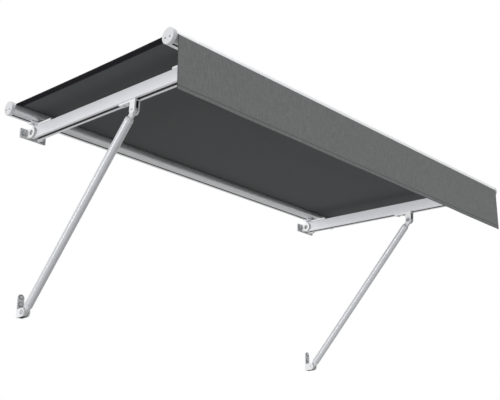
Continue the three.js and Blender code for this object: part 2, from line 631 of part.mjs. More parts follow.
// From the collar's edge up to the tongue, as (radius, up), along a quarter of an ellipse
function shoulderOutline(collarAt) {
  const outline = [[0, -collarAt - PAST], [STRUT_RADIUS, -collarAt - PAST]];
  const drawIn = STRUT_RADIUS - SHOULDER_TOP_RADIUS;
  for (let i = 0; i <= SHOULDER_STEPS; i += 1) {
    const turn = (i / SHOULDER_STEPS) * Math.PI / 2;
    outline.push([SHOULDER_TOP_RADIUS + drawIn * Math.cos(turn), SHOULDER_LONG * Math.sin(turn) - collarAt]);
  }
  outline.push([0, SHOULDER_LONG - collarAt]);
  return outline;
}

// The clevis end of the strut is the pivot at which the linkage is opened, so its hole is wide.
const strutHead = () => eyeFitting(CLEVIS_HALF - CLEVIS_EAR, HEAD_COLLAR_AT, PIN_RADIUS + OPEN_PIVOT);

const strutShoe = () => eyeFitting(FOOT_HALF - FOOT_EAR, SHOE_COLLAR_AT, PIN_RADIUS + RUNNING)
  .rotate([180, 0, 0]);

function strutTube(length) {
  const bottom = SHOE_COLLAR_AT + COLLAR_HIGH + SEAT;
  const top = length - HEAD_COLLAR_AT - COLLAR_HIGH - SEAT;
  return cut(
    rod(at(0, 0, bottom), at(0, 0, top), STRUT_RADIUS, FACETS_ROUND),
    rod(at(0, 0, bottom - PAST), at(0, 0, top + PAST), STRUT_RADIUS - STRUT_WALL, FACETS_ROUND));
}

// Cloth: each sheet has a rope in its welted edge, held in a tube's groove

function welt(centre, half) {
  return rod(at(-half, centre.x, centre.y), at(half, centre.x, centre.y), WELT_RADIUS);
}

function fabricDeck() {
  const rear = new THREE.Vector2(REAR_TUBE_ALONG, TUBE_ABOVE);
  const front = new THREE.Vector2(FRONT_TUBE_ALONG, TUBE_ABOVE);
  const depth = TUBE_RADIUS - WELT_SLOT_DEPTH;
  const bend = TUBE_RADIUS + DECK_CLEAR;
  const rearWelt = rear.clone().add(ray(DECK_SLOT_DEG, depth));
  const frontWelt = front.clone().add(ray(180 - DECK_SLOT_DEG, depth));
  const line = [rearWelt, rear.clone().add(ray(DECK_SLOT_DEG, bend)),
    front.clone().add(ray(180 - DECK_SLOT_DEG, bend)), frontWelt];
  const hem = ribbon(line, HEM_THICK);
  return join(
    alongX(ribbon(line, CLOTH_THICK), -deckHalf, deckHalf),
    alongX(hem, -deckHalf, DECK_HEM - deckHalf),
    alongX(hem, deckHalf - DECK_HEM, deckHalf),
    welt(rearWelt, deckHalf),
    welt(frontWelt, deckHalf));
}

// The valance hangs straight down from the front tube's centre at (0, 0), in a level frame
function valance() {
  const slotDegrees = VALANCE_SLOT_DEG - SLOPE_DEG;
  const top = ray(slotDegrees, TUBE_RADIUS - WELT_SLOT_DEPTH);
  const bend = ray(slotDegrees, TUBE_RADIUS + VALANCE_CLEAR);
  const foot = new THREE.Vector2(bend.x, -VALANCE_DROP);
  const hemTop = new THREE.Vector2(bend.x, VALANCE_HEM - VALANCE_DROP);
  return join(
    alongX(ribbon([top, bend, foot], CLOTH_THICK), -valanceHalf, valanceHalf),
    alongX(ribbon([hemTop, foot], HEM_THICK), -valanceHalf, valanceHalf),
    welt(top, valanceHalf));
}

// Assembly

const awning = new THREE.Group();
const canopy = new THREE.Group();
canopy.position.copy(at(0, PIVOT_OUT, 0));
canopy.rotation.x = slope;
awning.add(canopy);

function place(parent, mesh, x, out, up) {
  mesh.position.copy(at(x, out, up));
  parent.add(mesh);
}

const sides = [{ name: 'left', sign: -1 }, { name: 'right', sign: 1 }];

// The clevis pin as it stands in the frame of the wall, and the strut that reaches it
const pinOut = PIVOT_OUT + CLEVIS_ALONG * Math.cos(slope) + clevisPinLevel * Math.sin(slope);
const pinUp = clevisPinLevel * Math.cos(slope) - CLEVIS_ALONG * Math.sin(slope);
const strutRun = pinOut - FOOT_PIN_OUT;
const strutRise = pinUp + FOOT_DROP;
const strutLength = Math.hypot(strutRun, strutRise);

for (const { name, sign } of sides) {
  const x = sign * railX;

  place(awning, piece(`wall_bracket_${name}`, wallBracket(), finish.zinc), x, 0, 0);
  place(awning, piece(`pivot_bolt_${name}`, pivotBolt(), finish.steel), x, 0, 0);
  [-1, 1].forEach((side, i) => {
    const bolt = platedBolt(BRACKET_PLATE, WALL_BOLT_RADIUS, WALL_BOLT_HEAD_RADIUS, WALL_BOLT_HEAD_HIGH);
    place(awning, piece(`wall_bolt_${name}_${i + 1}`, bolt, finish.steel), x + side * WALL_BOLT_SIDE, 0, 0);
  });

  place(awning, piece(`strut_foot_${name}`, strutFoot(), finish.casting), x, 0, -FOOT_DROP);
  FOOT_BOLT_UP.forEach((up, i) => {
    const bolt = platedBolt(FOOT_PLATE, FOOT_BOLT_RADIUS, FOOT_BOLT_HEAD_RADIUS, FOOT_BOLT_HEAD_HIGH);
    place(awning, piece(`foot_bolt_${name}_${i + 1}`, bolt, finish.steel), x, 0, up - FOOT_DROP);
  });
  place(awning, piece(`foot_pin_${name}`, forkPin(FOOT_HALF, sign), finish.steel),
    x, FOOT_PIN_OUT, -FOOT_DROP);

  place(canopy, piece(`rail_${name}`, rail(), finish.anodised), x, 0, 0);
  place(canopy, piece(`rail_knuckle_${name}`, railKnuckle(), finish.casting), x, 0, 0);
  place(canopy, piece(`rail_front_cap_${name}`, railFrontCap(), finish.capPlastic), x, 0, 0);

  const clevisParts = new THREE.Group();
  clevisParts.position.copy(at(x, CLEVIS_ALONG, clevisPinLevel));
  canopy.add(clevisParts);
  place(clevisParts, piece(`clevis_${name}`, clevis(), finish.casting), 0, 0, 0);
  place(clevisParts, piece(`slot_nut_${name}`, slotNut(), finish.steel), 0, 0, 0);
  place(clevisParts, piece(`clevis_pin_${name}`, forkPin(CLEVIS_HALF, -sign), finish.steel), 0, 0, 0);
  CLEVIS_SCREW_AT.forEach((back, i) => {
    place(clevisParts, piece(`clevis_screw_${name}_${i + 1}`, clevisScrew(back), finish.steel), 0, 0, 0);
  });

  const strut = new THREE.Group();
  strut.position.copy(at(x, FOOT_PIN_OUT, -FOOT_DROP));
  strut.rotation.x = Math.atan2(strutRun, strutRise);
  awning.add(strut);
  place(strut, piece(`strut_tube_${name}`, strutTube(strutLength), finish.whitePaint), 0, 0, 0);
  place(strut, piece(`strut_head_${name}`, strutHead(), finish.casting), 0, 0, strutLength);
  place(strut, piece(`strut_shoe_${name}`, strutShoe(), finish.casting), 0, 0, 0);
}

const tubes = [
  { name: 'rear', along: REAR_TUBE_ALONG, towards: 1, reach: SADDLE_REACH_REAR, welts: [DECK_SLOT_DEG] },
  {
    name: 'front',
    along: FRONT_TUBE_ALONG,
    towards: -1,
    reach: SADDLE_REACH_FRONT,
    welts: [180 - DECK_SLOT_DEG, VALANCE_SLOT_DEG],
  },
];

for (const { name, along, towards, reach, welts } of tubes) {
  place(canopy, piece(`${name}_tube`, tube(welts), finish.whitePaint), TUBE_SHIFT, along, TUBE_ABOVE);
  for (const { name: end, sign } of sides) {
    const cap = piece(`${name}_tube_cap_${end}`, sign > 0 ? tubeCap() : tubeCap().mirror([1, 0, 0]),
      finish.capPlastic);
    place(canopy, cap, TUBE_SHIFT, along, TUBE_ABOVE);
    const x = sign * railX;
    place(canopy, piece(`${name}_saddle_${end}`, saddle(towards, reach), finish.casting),
      x, along, TUBE_ABOVE);
    [-1, 1].forEach((side, i) => {
      const bolt = piece(`${name}_saddle_bolt_${end}_${i + 1}`, saddleBolt(), finish.steel);
      place(canopy, bolt, x + side * SADDLE_BOLT_SIDE, along, TUBE_ABOVE);
    });
  }
}

place(canopy, piece('fabric_deck', fabricDeck(), finish.deckCloth), TUBE_SHIFT, 0, 0);
const hanging = new THREE.Group();
hanging.position.copy(at(TUBE_SHIFT, FRONT_TUBE_ALONG, TUBE_ABOVE));
hanging.rotation.x = -slope;
canopy.add(hanging);
place(hanging, piece('valance', valance(), finish.valanceCloth), 0, 0, 0);

export default awning;
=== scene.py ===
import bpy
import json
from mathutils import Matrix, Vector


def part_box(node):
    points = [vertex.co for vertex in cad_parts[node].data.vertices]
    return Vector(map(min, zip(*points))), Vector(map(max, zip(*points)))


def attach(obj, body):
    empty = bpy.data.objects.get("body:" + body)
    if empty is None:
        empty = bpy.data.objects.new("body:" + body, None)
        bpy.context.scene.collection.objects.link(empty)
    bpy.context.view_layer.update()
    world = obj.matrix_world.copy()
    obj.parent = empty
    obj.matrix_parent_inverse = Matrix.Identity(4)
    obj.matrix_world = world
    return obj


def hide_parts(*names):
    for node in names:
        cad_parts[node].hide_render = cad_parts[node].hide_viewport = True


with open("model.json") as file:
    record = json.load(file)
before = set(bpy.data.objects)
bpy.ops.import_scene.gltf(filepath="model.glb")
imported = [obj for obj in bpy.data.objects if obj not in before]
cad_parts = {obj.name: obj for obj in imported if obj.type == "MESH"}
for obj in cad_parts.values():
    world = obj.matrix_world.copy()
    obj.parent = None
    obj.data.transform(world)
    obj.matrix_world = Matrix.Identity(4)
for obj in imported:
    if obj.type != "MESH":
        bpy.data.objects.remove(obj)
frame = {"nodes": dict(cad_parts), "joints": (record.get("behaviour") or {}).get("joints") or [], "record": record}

"""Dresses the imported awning: finishes for the metal frame, and woven cloth for deck and valance."""

import json
import logging
import math
from dataclasses import dataclass, field, replace
from enum import Enum

import bpy
import numpy as np
from bpy.types import Material, Node, NodeSocket, NodeTree, Object
from mathutils import Vector

LOG = logging.getLogger("awning")
MM = 0.001
SMOOTH_DEGREES = 35
TUBES = ("rear_tube", "front_tube")
Colour = tuple[float, float, float]
Sockets = bpy.types.bpy_prop_collection


class Slot(Enum):
    """The record's material slots."""

    TUBE = "tube_coat"
    STRUT = "strut_coat"
    RAIL = "rail_coat"
    CASTING = "casting"
    ZINC = "zinc_steel"
    FASTENER = "fastener"
    CAP = "cap_plastic"
    DECK = "deck_cloth"
    VALANCE = "valance_cloth"


class Axis(Enum):
    """The row-frame axis that a cloth's long threads are measured along."""

    Y = "Y"
    Z = "Z"


class Nodes:
    """A small helper that adds and wires the nodes of one tree."""

    def __init__(self, tree: NodeTree) -> None:
        """Starts on a tree."""
        self.tree = tree

    def _feed(self, target: NodeSocket, value: object) -> None:
        """Wires a source socket to an input, or sets the input's value."""
        if isinstance(value, NodeSocket):
            self.tree.links.new(value, target)
        else:
            target.default_value = value

    def fill(self, node: Node, **values: object) -> Node:
        """Sets or wires a node's inputs.

        Args:
            node: the node.
            values: a value or a source socket for each input, with spaces written as underscores.

        Returns:
            The same node.
        """
        for key, value in values.items():
            self._feed(node.inputs[key.replace("_", " ")], value)
        return node

    def add(self, kind: str, *feeds: object, **values: object) -> Node:
        """Adds a node and sets its properties and inputs.

        Args:
            kind: the node's type, such as ShaderNodeBump.
            feeds: values or sockets for its inputs, in their order.
            values: properties by name, and inputs as in_NAME with spaces written as underscores.

        Returns:
            The new node.
        """
        node = self.tree.nodes.new(kind)
        for key, value in values.items():
            if not key.startswith("in_"):
                setattr(node, key, value)
        for target, value in zip(node.inputs, feeds):
            self._feed(target, value)
        return self.fill(node, **{key[3:]: value for key, value in values.items() if key.startswith("in_")})

    def math(self, operation: str, *values: object) -> NodeSocket:
        """Works out a number from values or sockets."""
        return self.add("ShaderNodeMath", *values, operation=operation).outputs[0]

    def swing(self, value: NodeSocket, amount: object) -> NodeSocket:
        """Turns a value between 0 and 1 into a swing about zero."""
        return self.math("MULTIPLY", self.math("SUBTRACT", value, 0.5), amount)

    def vector(self, operation: str, *values: object) -> NodeSocket:
        """Works out a vector from values or sockets, or a number for a length or a dot product."""
        node = self.add("ShaderNodeVectorMath", *values, operation=operation)
        return node.outputs["Value" if operation in ("LENGTH", "DOT_PRODUCT") else "Vector"]

    def place(self) -> NodeSocket:
        """Gives the place on the object, in the row frame."""
        return self.add("ShaderNodeTexCoord").outputs["Object"]

    def facing(self) -> NodeSocket:
        """Gives the way that the surface faces."""
        return self.add("ShaderNodeNewGeometry").outputs["Normal"]

    def split(self, vector: NodeSocket) -> Sockets:
        """Gives the X, Y and Z of a vector."""
        return self.add("ShaderNodeSeparateXYZ", in_Vector=vector).outputs

    def noise(self, vector: NodeSocket, **values: object) -> NodeSocket:
        """Gives noise at a place, with the Noise Texture's other inputs as in_NAME."""
        return self.add("ShaderNodeTexNoise", in_Vector=vector, **values).outputs["Fac"]

    def bump(self, height: NodeSocket, strength: object, distance: float) -> NodeSocket:
        """Gives the normal of a surface that follows a height."""
        node = self.add("ShaderNodeBump", in_Height=height, in_Strength=strength, in_Distance=distance)
        return node.outputs["Normal"]

    def tone(self, colour: object, value: NodeSocket) -> NodeSocket:
        """Makes a colour lighter or darker."""
        return self.add("ShaderNodeHueSaturation", in_Color=colour, in_Value=value).outputs["Color"]

    def mix(self, factor: object, first: object, second: object) -> NodeSocket:
        """Mixes two colours."""
        node = self.add("ShaderNodeMix", data_type="RGBA", in_Factor=factor, in_A=first, in_B=second)
        return node.outputs["Result"]

    def group(self, tree: NodeTree, **values: object) -> Sockets:
        """Places a shared group with its inputs, and gives its outputs."""
        return self.fill(self.add("ShaderNodeGroup", node_tree=tree), **values).outputs


def new_group(name: str, inputs: dict[str, object], outputs: dict[str, str]) -> tuple[Nodes, Sockets, Node]:
    """Starts a shader node group with its sockets.

    Args:
        name: the group's name.
        inputs: the default of each input: a number, a vector of three or a colour of four.
        outputs: the kind of each output: Float, Vector or Color.

    Returns:
        The group's helper, the sockets that it is given and the node that takes what it puts out.
    """
    tree = bpy.data.node_groups.new(name, "ShaderNodeTree")
    for socket, default in inputs.items():
        kind = "Float" if isinstance(default, float) else {3: "Vector", 4: "Color"}[len(default)]
        made = tree.interface.new_socket(socket, in_out="INPUT", socket_type=f"NodeSocket{kind}")
        made.default_value = default
    for socket, kind in outputs.items():
        tree.interface.new_socket(socket, in_out="OUTPUT", socket_type=f"NodeSocket{kind}")
    nodes = Nodes(tree)
    return nodes, nodes.add("NodeGroupInput").outputs, nodes.add("NodeGroupOutput")


class Effects:
    """The shader node groups that several finishes share."""

    PLAIN = (0.8, 0.8, 0.8, 1.0)
    DUST = (0.42, 0.4, 0.36, 1.0)
    SLUBS = (((240.0, 12.0, 1.0), 0.3), ((30.0, 170.0, 1.0), 0.35), ((120.0, 28.0, 1.0), 0.35))

    def __init__(self) -> None:
        """Builds every group once."""
        self.drift = self._drift()
        self.peel = self._peel()
        self.drawn = self._drawn()
        self.weave = self._weave()
        self.dust = self._dust()
        self.sunk = self._sunk()

    def _drift(self) -> NodeTree:
        """Builds the slow change of tone across a surface.

        Returns:
            The group.
        """
        nodes, given, put = new_group("tone_drift", {"Colour": self.PLAIN, "Scale": 6.0, "Amount": 0.05},
                                      {"Colour": "Color"})
        noise = nodes.noise(nodes.place(), in_Scale=given["Scale"], in_Detail=4.0, in_Roughness=0.6)
        swing = nodes.math("MULTIPLY", nodes.swing(noise, given["Amount"]), 2.0)
        nodes.fill(put, Colour=nodes.tone(given["Colour"], nodes.math("ADD", swing, 1.0)))
        return nodes.tree

    def _peel(self) -> NodeTree:
        """Builds the fine orange peel of powder coat, castings and moulded plastic.

        Returns:
            The group.
        """
        nodes, given, put = new_group("orange_peel", {"Scale": 900.0, "Height": 0.1, "Roughness": 0.35},
                                      {"Normal": "Vector", "Roughness": "Float"})
        place = nodes.place()
        fine = nodes.noise(place, in_Scale=given["Scale"], in_Detail=2.0)
        wide = nodes.noise(place, in_Scale=14.0, in_Detail=3.0)
        nodes.fill(put, Normal=nodes.bump(fine, given["Height"], 0.3 * MM),
                   Roughness=nodes.math("ADD", given["Roughness"], nodes.swing(wide, 0.25)))
        return nodes.tree

    def _drawn(self) -> NodeTree:
        """Builds the fine lines along a drawn or brushed surface.

        Returns:
            The group.
        """
        nodes, given, put = new_group("drawn_lines", {"Stretch": (1.0, 1.0, 1.0), "Height": 0.1},
                                      {"Normal": "Vector", "Lines": "Float"})
        pulled = nodes.vector("MULTIPLY", nodes.place(), given["Stretch"])
        lines = nodes.noise(pulled, in_Scale=1.0, in_Detail=3.0, in_Roughness=0.65)
        nodes.fill(put, Normal=nodes.bump(lines, given["Height"], 0.2 * MM), Lines=lines)
        return nodes.tree

    def _weave(self) -> NodeTree:
        """Builds a plain weave with uneven yarns, from a place measured in threads.

        Returns:
            The group.
        """
        nodes, given, put = new_group("plain_weave", {"Across": 0.0, "Along": 0.0, "Threads": 900.0},
                                      {"Height": "Float", "Yarn": "Float"})
        waves = []
        for name in ("Across", "Along"):
            turned = nodes.math("MULTIPLY", given[name], given["Threads"])
            waves.append(nodes.math("SINE", nodes.math("MULTIPLY", turned, math.pi)))
        crossing = nodes.math("ADD", nodes.math("MULTIPLY", *waves), 1.0)
        flat = nodes.add("ShaderNodeCombineXYZ", in_X=given["Across"], in_Y=given["Along"]).outputs[0]
        yarn = 0.0
        for stretch, weight in self.SLUBS:
            slub = nodes.noise(nodes.vector("MULTIPLY", flat, stretch), in_Scale=1.0, in_Detail=4.0,
                               in_Roughness=0.6)
            yarn = nodes.math("ADD", yarn, nodes.math("MULTIPLY", slub, weight))
        nodes.fill(put, Height=nodes.math("MULTIPLY", crossing, 0.5), Yarn=yarn)
        return nodes.tree

    def _dust(self) -> NodeTree:
        """Builds a faint dust that lies on faces that look up.

        Returns:
            The group.
        """
        nodes, given, put = new_group("settled_dust", {"Colour": self.PLAIN, "Amount": 0.1},
                                      {"Colour": "Color"})
        up = nodes.math("MAXIMUM", nodes.split(nodes.facing())["Z"], 0.0)
        noise = nodes.noise(nodes.place(), in_Scale=22.0, in_Detail=6.0, in_Roughness=0.7)
        amount = nodes.math("MULTIPLY", nodes.math("MULTIPLY", up, noise), given["Amount"])
        nodes.fill(put, Colour=nodes.mix(amount, given["Colour"], self.DUST))
        return nodes.tree

    def _sunk(self) -> NodeTree:
        """Builds the painted shade of slots and grooves, from how far a place lies below the surface.

        Returns:
            The group.
        """
        nodes, given, put = new_group(
            "sunk_shade", {"Colour": self.PLAIN, "Depth": 0.0, "Shade": (0.02, 0.02, 0.022, 1.0)},
            {"Colour": "Color"})
        # painted shade: below the surface the colour fades to the shade colour
        fade = nodes.add("ShaderNodeMapRange", interpolation_type="SMOOTHSTEP", in_Value=given["Depth"],
                         in_From_Min=0.5 * MM, in_From_Max=1.4 * MM)
        nodes.fill(put, Colour=nodes.mix(fade.outputs["Result"], given["Colour"], given["Shade"]))
        return nodes.tree


def start_material(name: str) -> tuple[Material, Nodes, Node]:
    """Starts a node material.

    Args:
        name: the material's name.

    Returns:
        The material, its helper and its Principled shader.
    """
    material = bpy.data.materials.new(name)
    material.use_nodes = True
    return material, Nodes(material.node_tree), material.node_tree.nodes["Principled BSDF"]


def rgba(colour: Colour) -> tuple[float, float, float, float]:
    """Returns a colour with full alpha."""
    return (*colour, 1.0)


@dataclass(frozen=True)
class RoundSunk:
    """Where painted shade goes: what lies nearer to an axis along the wall than the round surface about it."""

    axes: tuple[tuple[float, float], ...]
    radius: float
    shade: Colour = (0.02, 0.02, 0.022)

    def depth(self, nodes: Nodes) -> NodeSocket:
        """Gives how far a place lies below the round surface.

        Args:
            nodes: the material's helper.

        Returns:
            The depth in metres.
        """
        place = nodes.place()
        nearest = None
        for y, z in self.axes:
            away = nodes.vector("SUBTRACT", place, (0.0, y, z))
            found = nodes.vector("LENGTH", nodes.vector("MULTIPLY", away, (0.0, 1.0, 1.0)))
            nearest = found if nearest is None else nodes.math("MINIMUM", nearest, found)
        return nodes.math("SUBTRACT", self.radius, nearest)


def beside_rail(nodes: Nodes, rail_x: float, half: float) -> NodeSocket:
    """Marks what lies near the middle plane of either rail.

    Args:
        nodes: the material's helper.
        rail_x: how far the rails' middle planes are from the awning's.
        half: how far the mark reaches to each side.

    Returns:
        1 inside the mark, and 0 elsewhere.
    """
    x = nodes.math("ABSOLUTE", nodes.split(nodes.place())["X"])
    off = nodes.math("ABSOLUTE", nodes.math("SUBTRACT", x, rail_x))
    return nodes.math("LESS_THAN", off, half)


@dataclass(frozen=True)
class SlotSunk:
    """Where painted shade goes: what lies in the slots along the rails' undersides."""

    origin: Colour
    normal: Colour
    rail_x: float
    half: float = 16.3 * MM
    underside: float = 27 * MM
    deep: float = 13.6 * MM
    shade: Colour = (0.18, 0.18, 0.19)

    def depth(self, nodes: Nodes) -> NodeSocket:
        """Gives how far a place in a slot lies above the rail's underside, or 0 elsewhere.

        Args:
            nodes: the material's helper.

        Returns:
            The depth in metres.
        """
        away = nodes.vector("SUBTRACT", nodes.place(), self.origin)
        above = nodes.math("ADD", nodes.vector("DOT_PRODUCT", away, self.normal), self.underside)
        inside = nodes.math("MULTIPLY", beside_rail(nodes, self.rail_x, self.half),
                            nodes.math("LESS_THAN", above, self.deep))
        return nodes.math("MULTIPLY", above, inside)


@dataclass(frozen=True)
class ForkSunk:
    """Where painted shade goes: what lies between the two ears of a fork."""

    axis: tuple[float, float]
    reach: float
    half: float
    rail_x: float
    shade: Colour = (0.03, 0.03, 0.032)

    def depth(self, nodes: Nodes) -> NodeSocket:
        """Gives the room's half width for a place between the ears, or 0 elsewhere.

        Args:
            nodes: the material's helper.

        Returns:
            The depth in metres.
        """
        near = nodes.math("GREATER_THAN", RoundSunk((self.axis,), self.reach).depth(nodes), 0.0)
        inside = nodes.math("MULTIPLY", beside_rail(nodes, self.rail_x, self.half), near)
        return nodes.math("MULTIPLY", inside, self.half)


# the kinds of place where painted shade is laid
Sunk = RoundSunk | SlotSunk | ForkSunk


def paint_sunk_shade(nodes: Nodes, effects: Effects, colour: NodeSocket, sunk: Sunk | None) -> NodeSocket:
    """Paints shade over what lies in a finish's slots and grooves.

    Args:
        nodes: the material's helper.
        effects: the shared node groups.
        colour: the finish's colour.
        sunk: where its slots and grooves lie, if it has any.

    Returns:
        The colour to use.
    """
    if sunk is None:
        return colour
    return nodes.group(effects.sunk, Colour=colour, Depth=sunk.depth(nodes), Shade=rgba(sunk.shade))["Colour"]


def lay_skin(nodes: Nodes, shader: Node, effects: Effects, finish: "CoatFinish | ZincFinish",
             colour: NodeSocket) -> None:
    """Lays dust, a fine peel and the painted shade of slots over a colour.

    Args:
        nodes: the material's helper.
        shader: its shader.
        effects: the shared node groups.
        finish: the finish that says how much of each there is.
        colour: the colour beneath.
    """
    dusty = nodes.group(effects.dust, Colour=colour, Amount=finish.dust)["Colour"]
    peel = nodes.group(effects.peel, Scale=finish.peel_scale, Height=finish.peel_height,
                       Roughness=finish.roughness)
    nodes.fill(shader, Base_Color=paint_sunk_shade(nodes, effects, dusty, finish.sunk), Normal=peel["Normal"],
               Roughness=peel["Roughness"], Metallic=finish.metallic)


@dataclass(frozen=True)
class CoatFinish:
    """Powder coat, casting or moulded plastic: a plain colour with a fine skin."""

    name: str
    colour: Colour
    roughness: float
    metallic: float = 0.0
    coat: float = 0.0
    coat_roughness: float = 0.15
    peel_scale: float = 900.0
    peel_height: float = 0.12
    drift: float = 0.03
    drift_scale: float = 5.0
    dust: float = 0.06
    specular: float = 0.5
    # where painted shade lies in the finish's slots and grooves, if anywhere
    sunk: Sunk | None = None

    def material(self, effects: Effects) -> Material:
        """Makes the material.

        Args:
            effects: the shared node groups.

        Returns:
            The new material.
        """
        material, nodes, shader = start_material(self.name)
        tone = nodes.group(effects.drift, Colour=rgba(self.colour), Scale=self.drift_scale, Amount=self.drift)
        lay_skin(nodes, shader, effects, self, tone["Colour"])
        nodes.fill(shader, Specular_IOR_Level=self.specular, Coat_Weight=self.coat,
                   Coat_Roughness=self.coat_roughness)
        return material


@dataclass(frozen=True)
class DrawnFinish:
    """Metal with fine lines along one direction."""

    name: str
    colour: Colour
    roughness: float
    metallic: float
    stretch: tuple[float, float, float]
    line_height: float = 0.1
    line_roughness: float = 0.2
    tone: float = 0.05
    tone_scale: float = 3.0
    # where painted shade lies in the finish's slots and grooves, if anywhere
    sunk: Sunk | None = None

    def material(self, effects: Effects) -> Material:
        """Makes the material.

        Args:
            effects: the shared node groups.

        Returns:
            The new material.
        """
        material, nodes, shader = start_material(self.name)
        tone = nodes.group(effects.drift, Colour=rgba(self.colour), Scale=self.tone_scale, Amount=self.tone)
        lines = nodes.group(effects.drawn, Stretch=self.stretch, Height=self.line_height)
        swing = nodes.swing(lines["Lines"], self.line_roughness)
        nodes.fill(shader, Base_Color=paint_sunk_shade(nodes, effects, tone["Colour"], self.sunk),
                   Roughness=nodes.math("ADD", swing, self.roughness), Normal=lines["Normal"],
                   Metallic=self.metallic)
        return material


@dataclass(frozen=True)
class ZincFinish:
    """Galvanised plate, with the patches of crystals that zinc sets in, and its coated cheeks, whose pale coat is
    laid only on faces turned sideways: partly two-tone paint, partly painted light from the side.
    """

    name: str
    dark: Colour
    light: Colour
    lit_cheek: Colour
    roughness: float
    metallic: float
    crystal_scale: float = 160.0
    plate_reach: float = 9 * MM
    lit_side_turn: float = 0.6
    dust: float = 0.08
    peel_scale: float = 400.0
    peel_height: float = 0.04
    # where painted shade lies in the plate's recess, if anywhere
    sunk: Sunk | None = None

    def material(self, effects: Effects) -> Material:
        """Makes the material.

        Args:
            effects: the shared node groups.

        Returns:
            The new material.
        """
        material, nodes, shader = start_material(self.name)
        place = nodes.place()
        cells = nodes.add("ShaderNodeTexVoronoi", in_Vector=place, in_Scale=self.crystal_scale)
        grey = nodes.add("ShaderNodeRGBToBW", in_Color=cells.outputs["Color"]).outputs[0]
        zinc = nodes.mix(grey, rgba(self.dark), rgba(self.light))
        # painted light: only faces turned sideways in front of the plate get the pale cheek colour, as if lit from
        # the side; the rest keep the zinc
        lit_sideways = nodes.math("GREATER_THAN", nodes.math("ABSOLUTE", nodes.split(nodes.facing())["X"]),
                              self.lit_side_turn)
        proud = nodes.math("LESS_THAN", nodes.split(place)["Y"], -self.plate_reach)
        parts = nodes.mix(nodes.math("MULTIPLY", proud, lit_sideways), zinc, rgba(self.lit_cheek))
        lay_skin(nodes, shader, effects, self, parts)
        return material


@dataclass(frozen=True)
class ClothFinish:
    """Woven awning cloth."""

    name: str
    colour: Colour
    along: Axis
    threads: float = 900.0
    mottle: float = 0.16
    thread_shade: float = 0.12
    slub_rise: float = 0.8
    crease_shade: float = 0.45
    drift: float = 0.05
    drift_scale: float = 2.0
    bump: float = 0.3
    weave_rise: float = 0.3 * MM
    roughness: float = 0.92
    sheen: float = 0.03
    sheen_roughness: float = 0.5
    shine: float = 0.1
    # painted shade: dark lines along creases and edges, each given as (axis, place, half width)
    crease_shade_lines: tuple[tuple[str, float, float], ...] = ()

    def material(self, effects: Effects) -> Material:
        """Makes the material.

        Args:
            effects: the shared node groups.

        Returns:
            The new material.
        """
        material, nodes, shader = start_material(self.name)
        place = nodes.split(nodes.place())
        weave = nodes.group(effects.weave, Across=place["X"], Along=place[self.along.value],
                            Threads=self.threads)
        value = nodes.math("ADD", nodes.swing(weave["Yarn"], 2.0 * self.mottle), 1.0)
        # painted shade: the weave's low places between crossings are darker; the yarn's mottle is the cloth's own
        # tone
        depth = nodes.swing(weave["Height"], self.thread_shade)
        tone = nodes.tone(rgba(self.colour), nodes.math("ADD", value, depth))
        shown = nodes.group(effects.drift, Colour=tone, Scale=self.drift_scale, Amount=self.drift)["Colour"]
        # painted shade along each crease and edge line
        dark = rgba(tuple(self.crease_shade * part for part in self.colour))
        for axis, level, half in self.crease_shade_lines:
            off = nodes.math("ABSOLUTE", nodes.math("SUBTRACT", place[axis], level))
            shown = nodes.group(effects.sunk, Colour=shown, Depth=nodes.math("SUBTRACT", half, off),
                                Shade=dark)["Colour"]
        relief = nodes.math("ADD", weave["Height"], nodes.math("MULTIPLY", weave["Yarn"], self.slub_rise))
        nodes.fill(shader, Base_Color=shown, Normal=nodes.bump(relief, self.bump, self.weave_rise),
                   Roughness=self.roughness, Sheen_Weight=self.sheen,
                   Sheen_Roughness=self.sheen_roughness, Specular_IOR_Level=self.shine)
        return material


Finish = CoatFinish | DrawnFinish | ZincFinish | ClothFinish


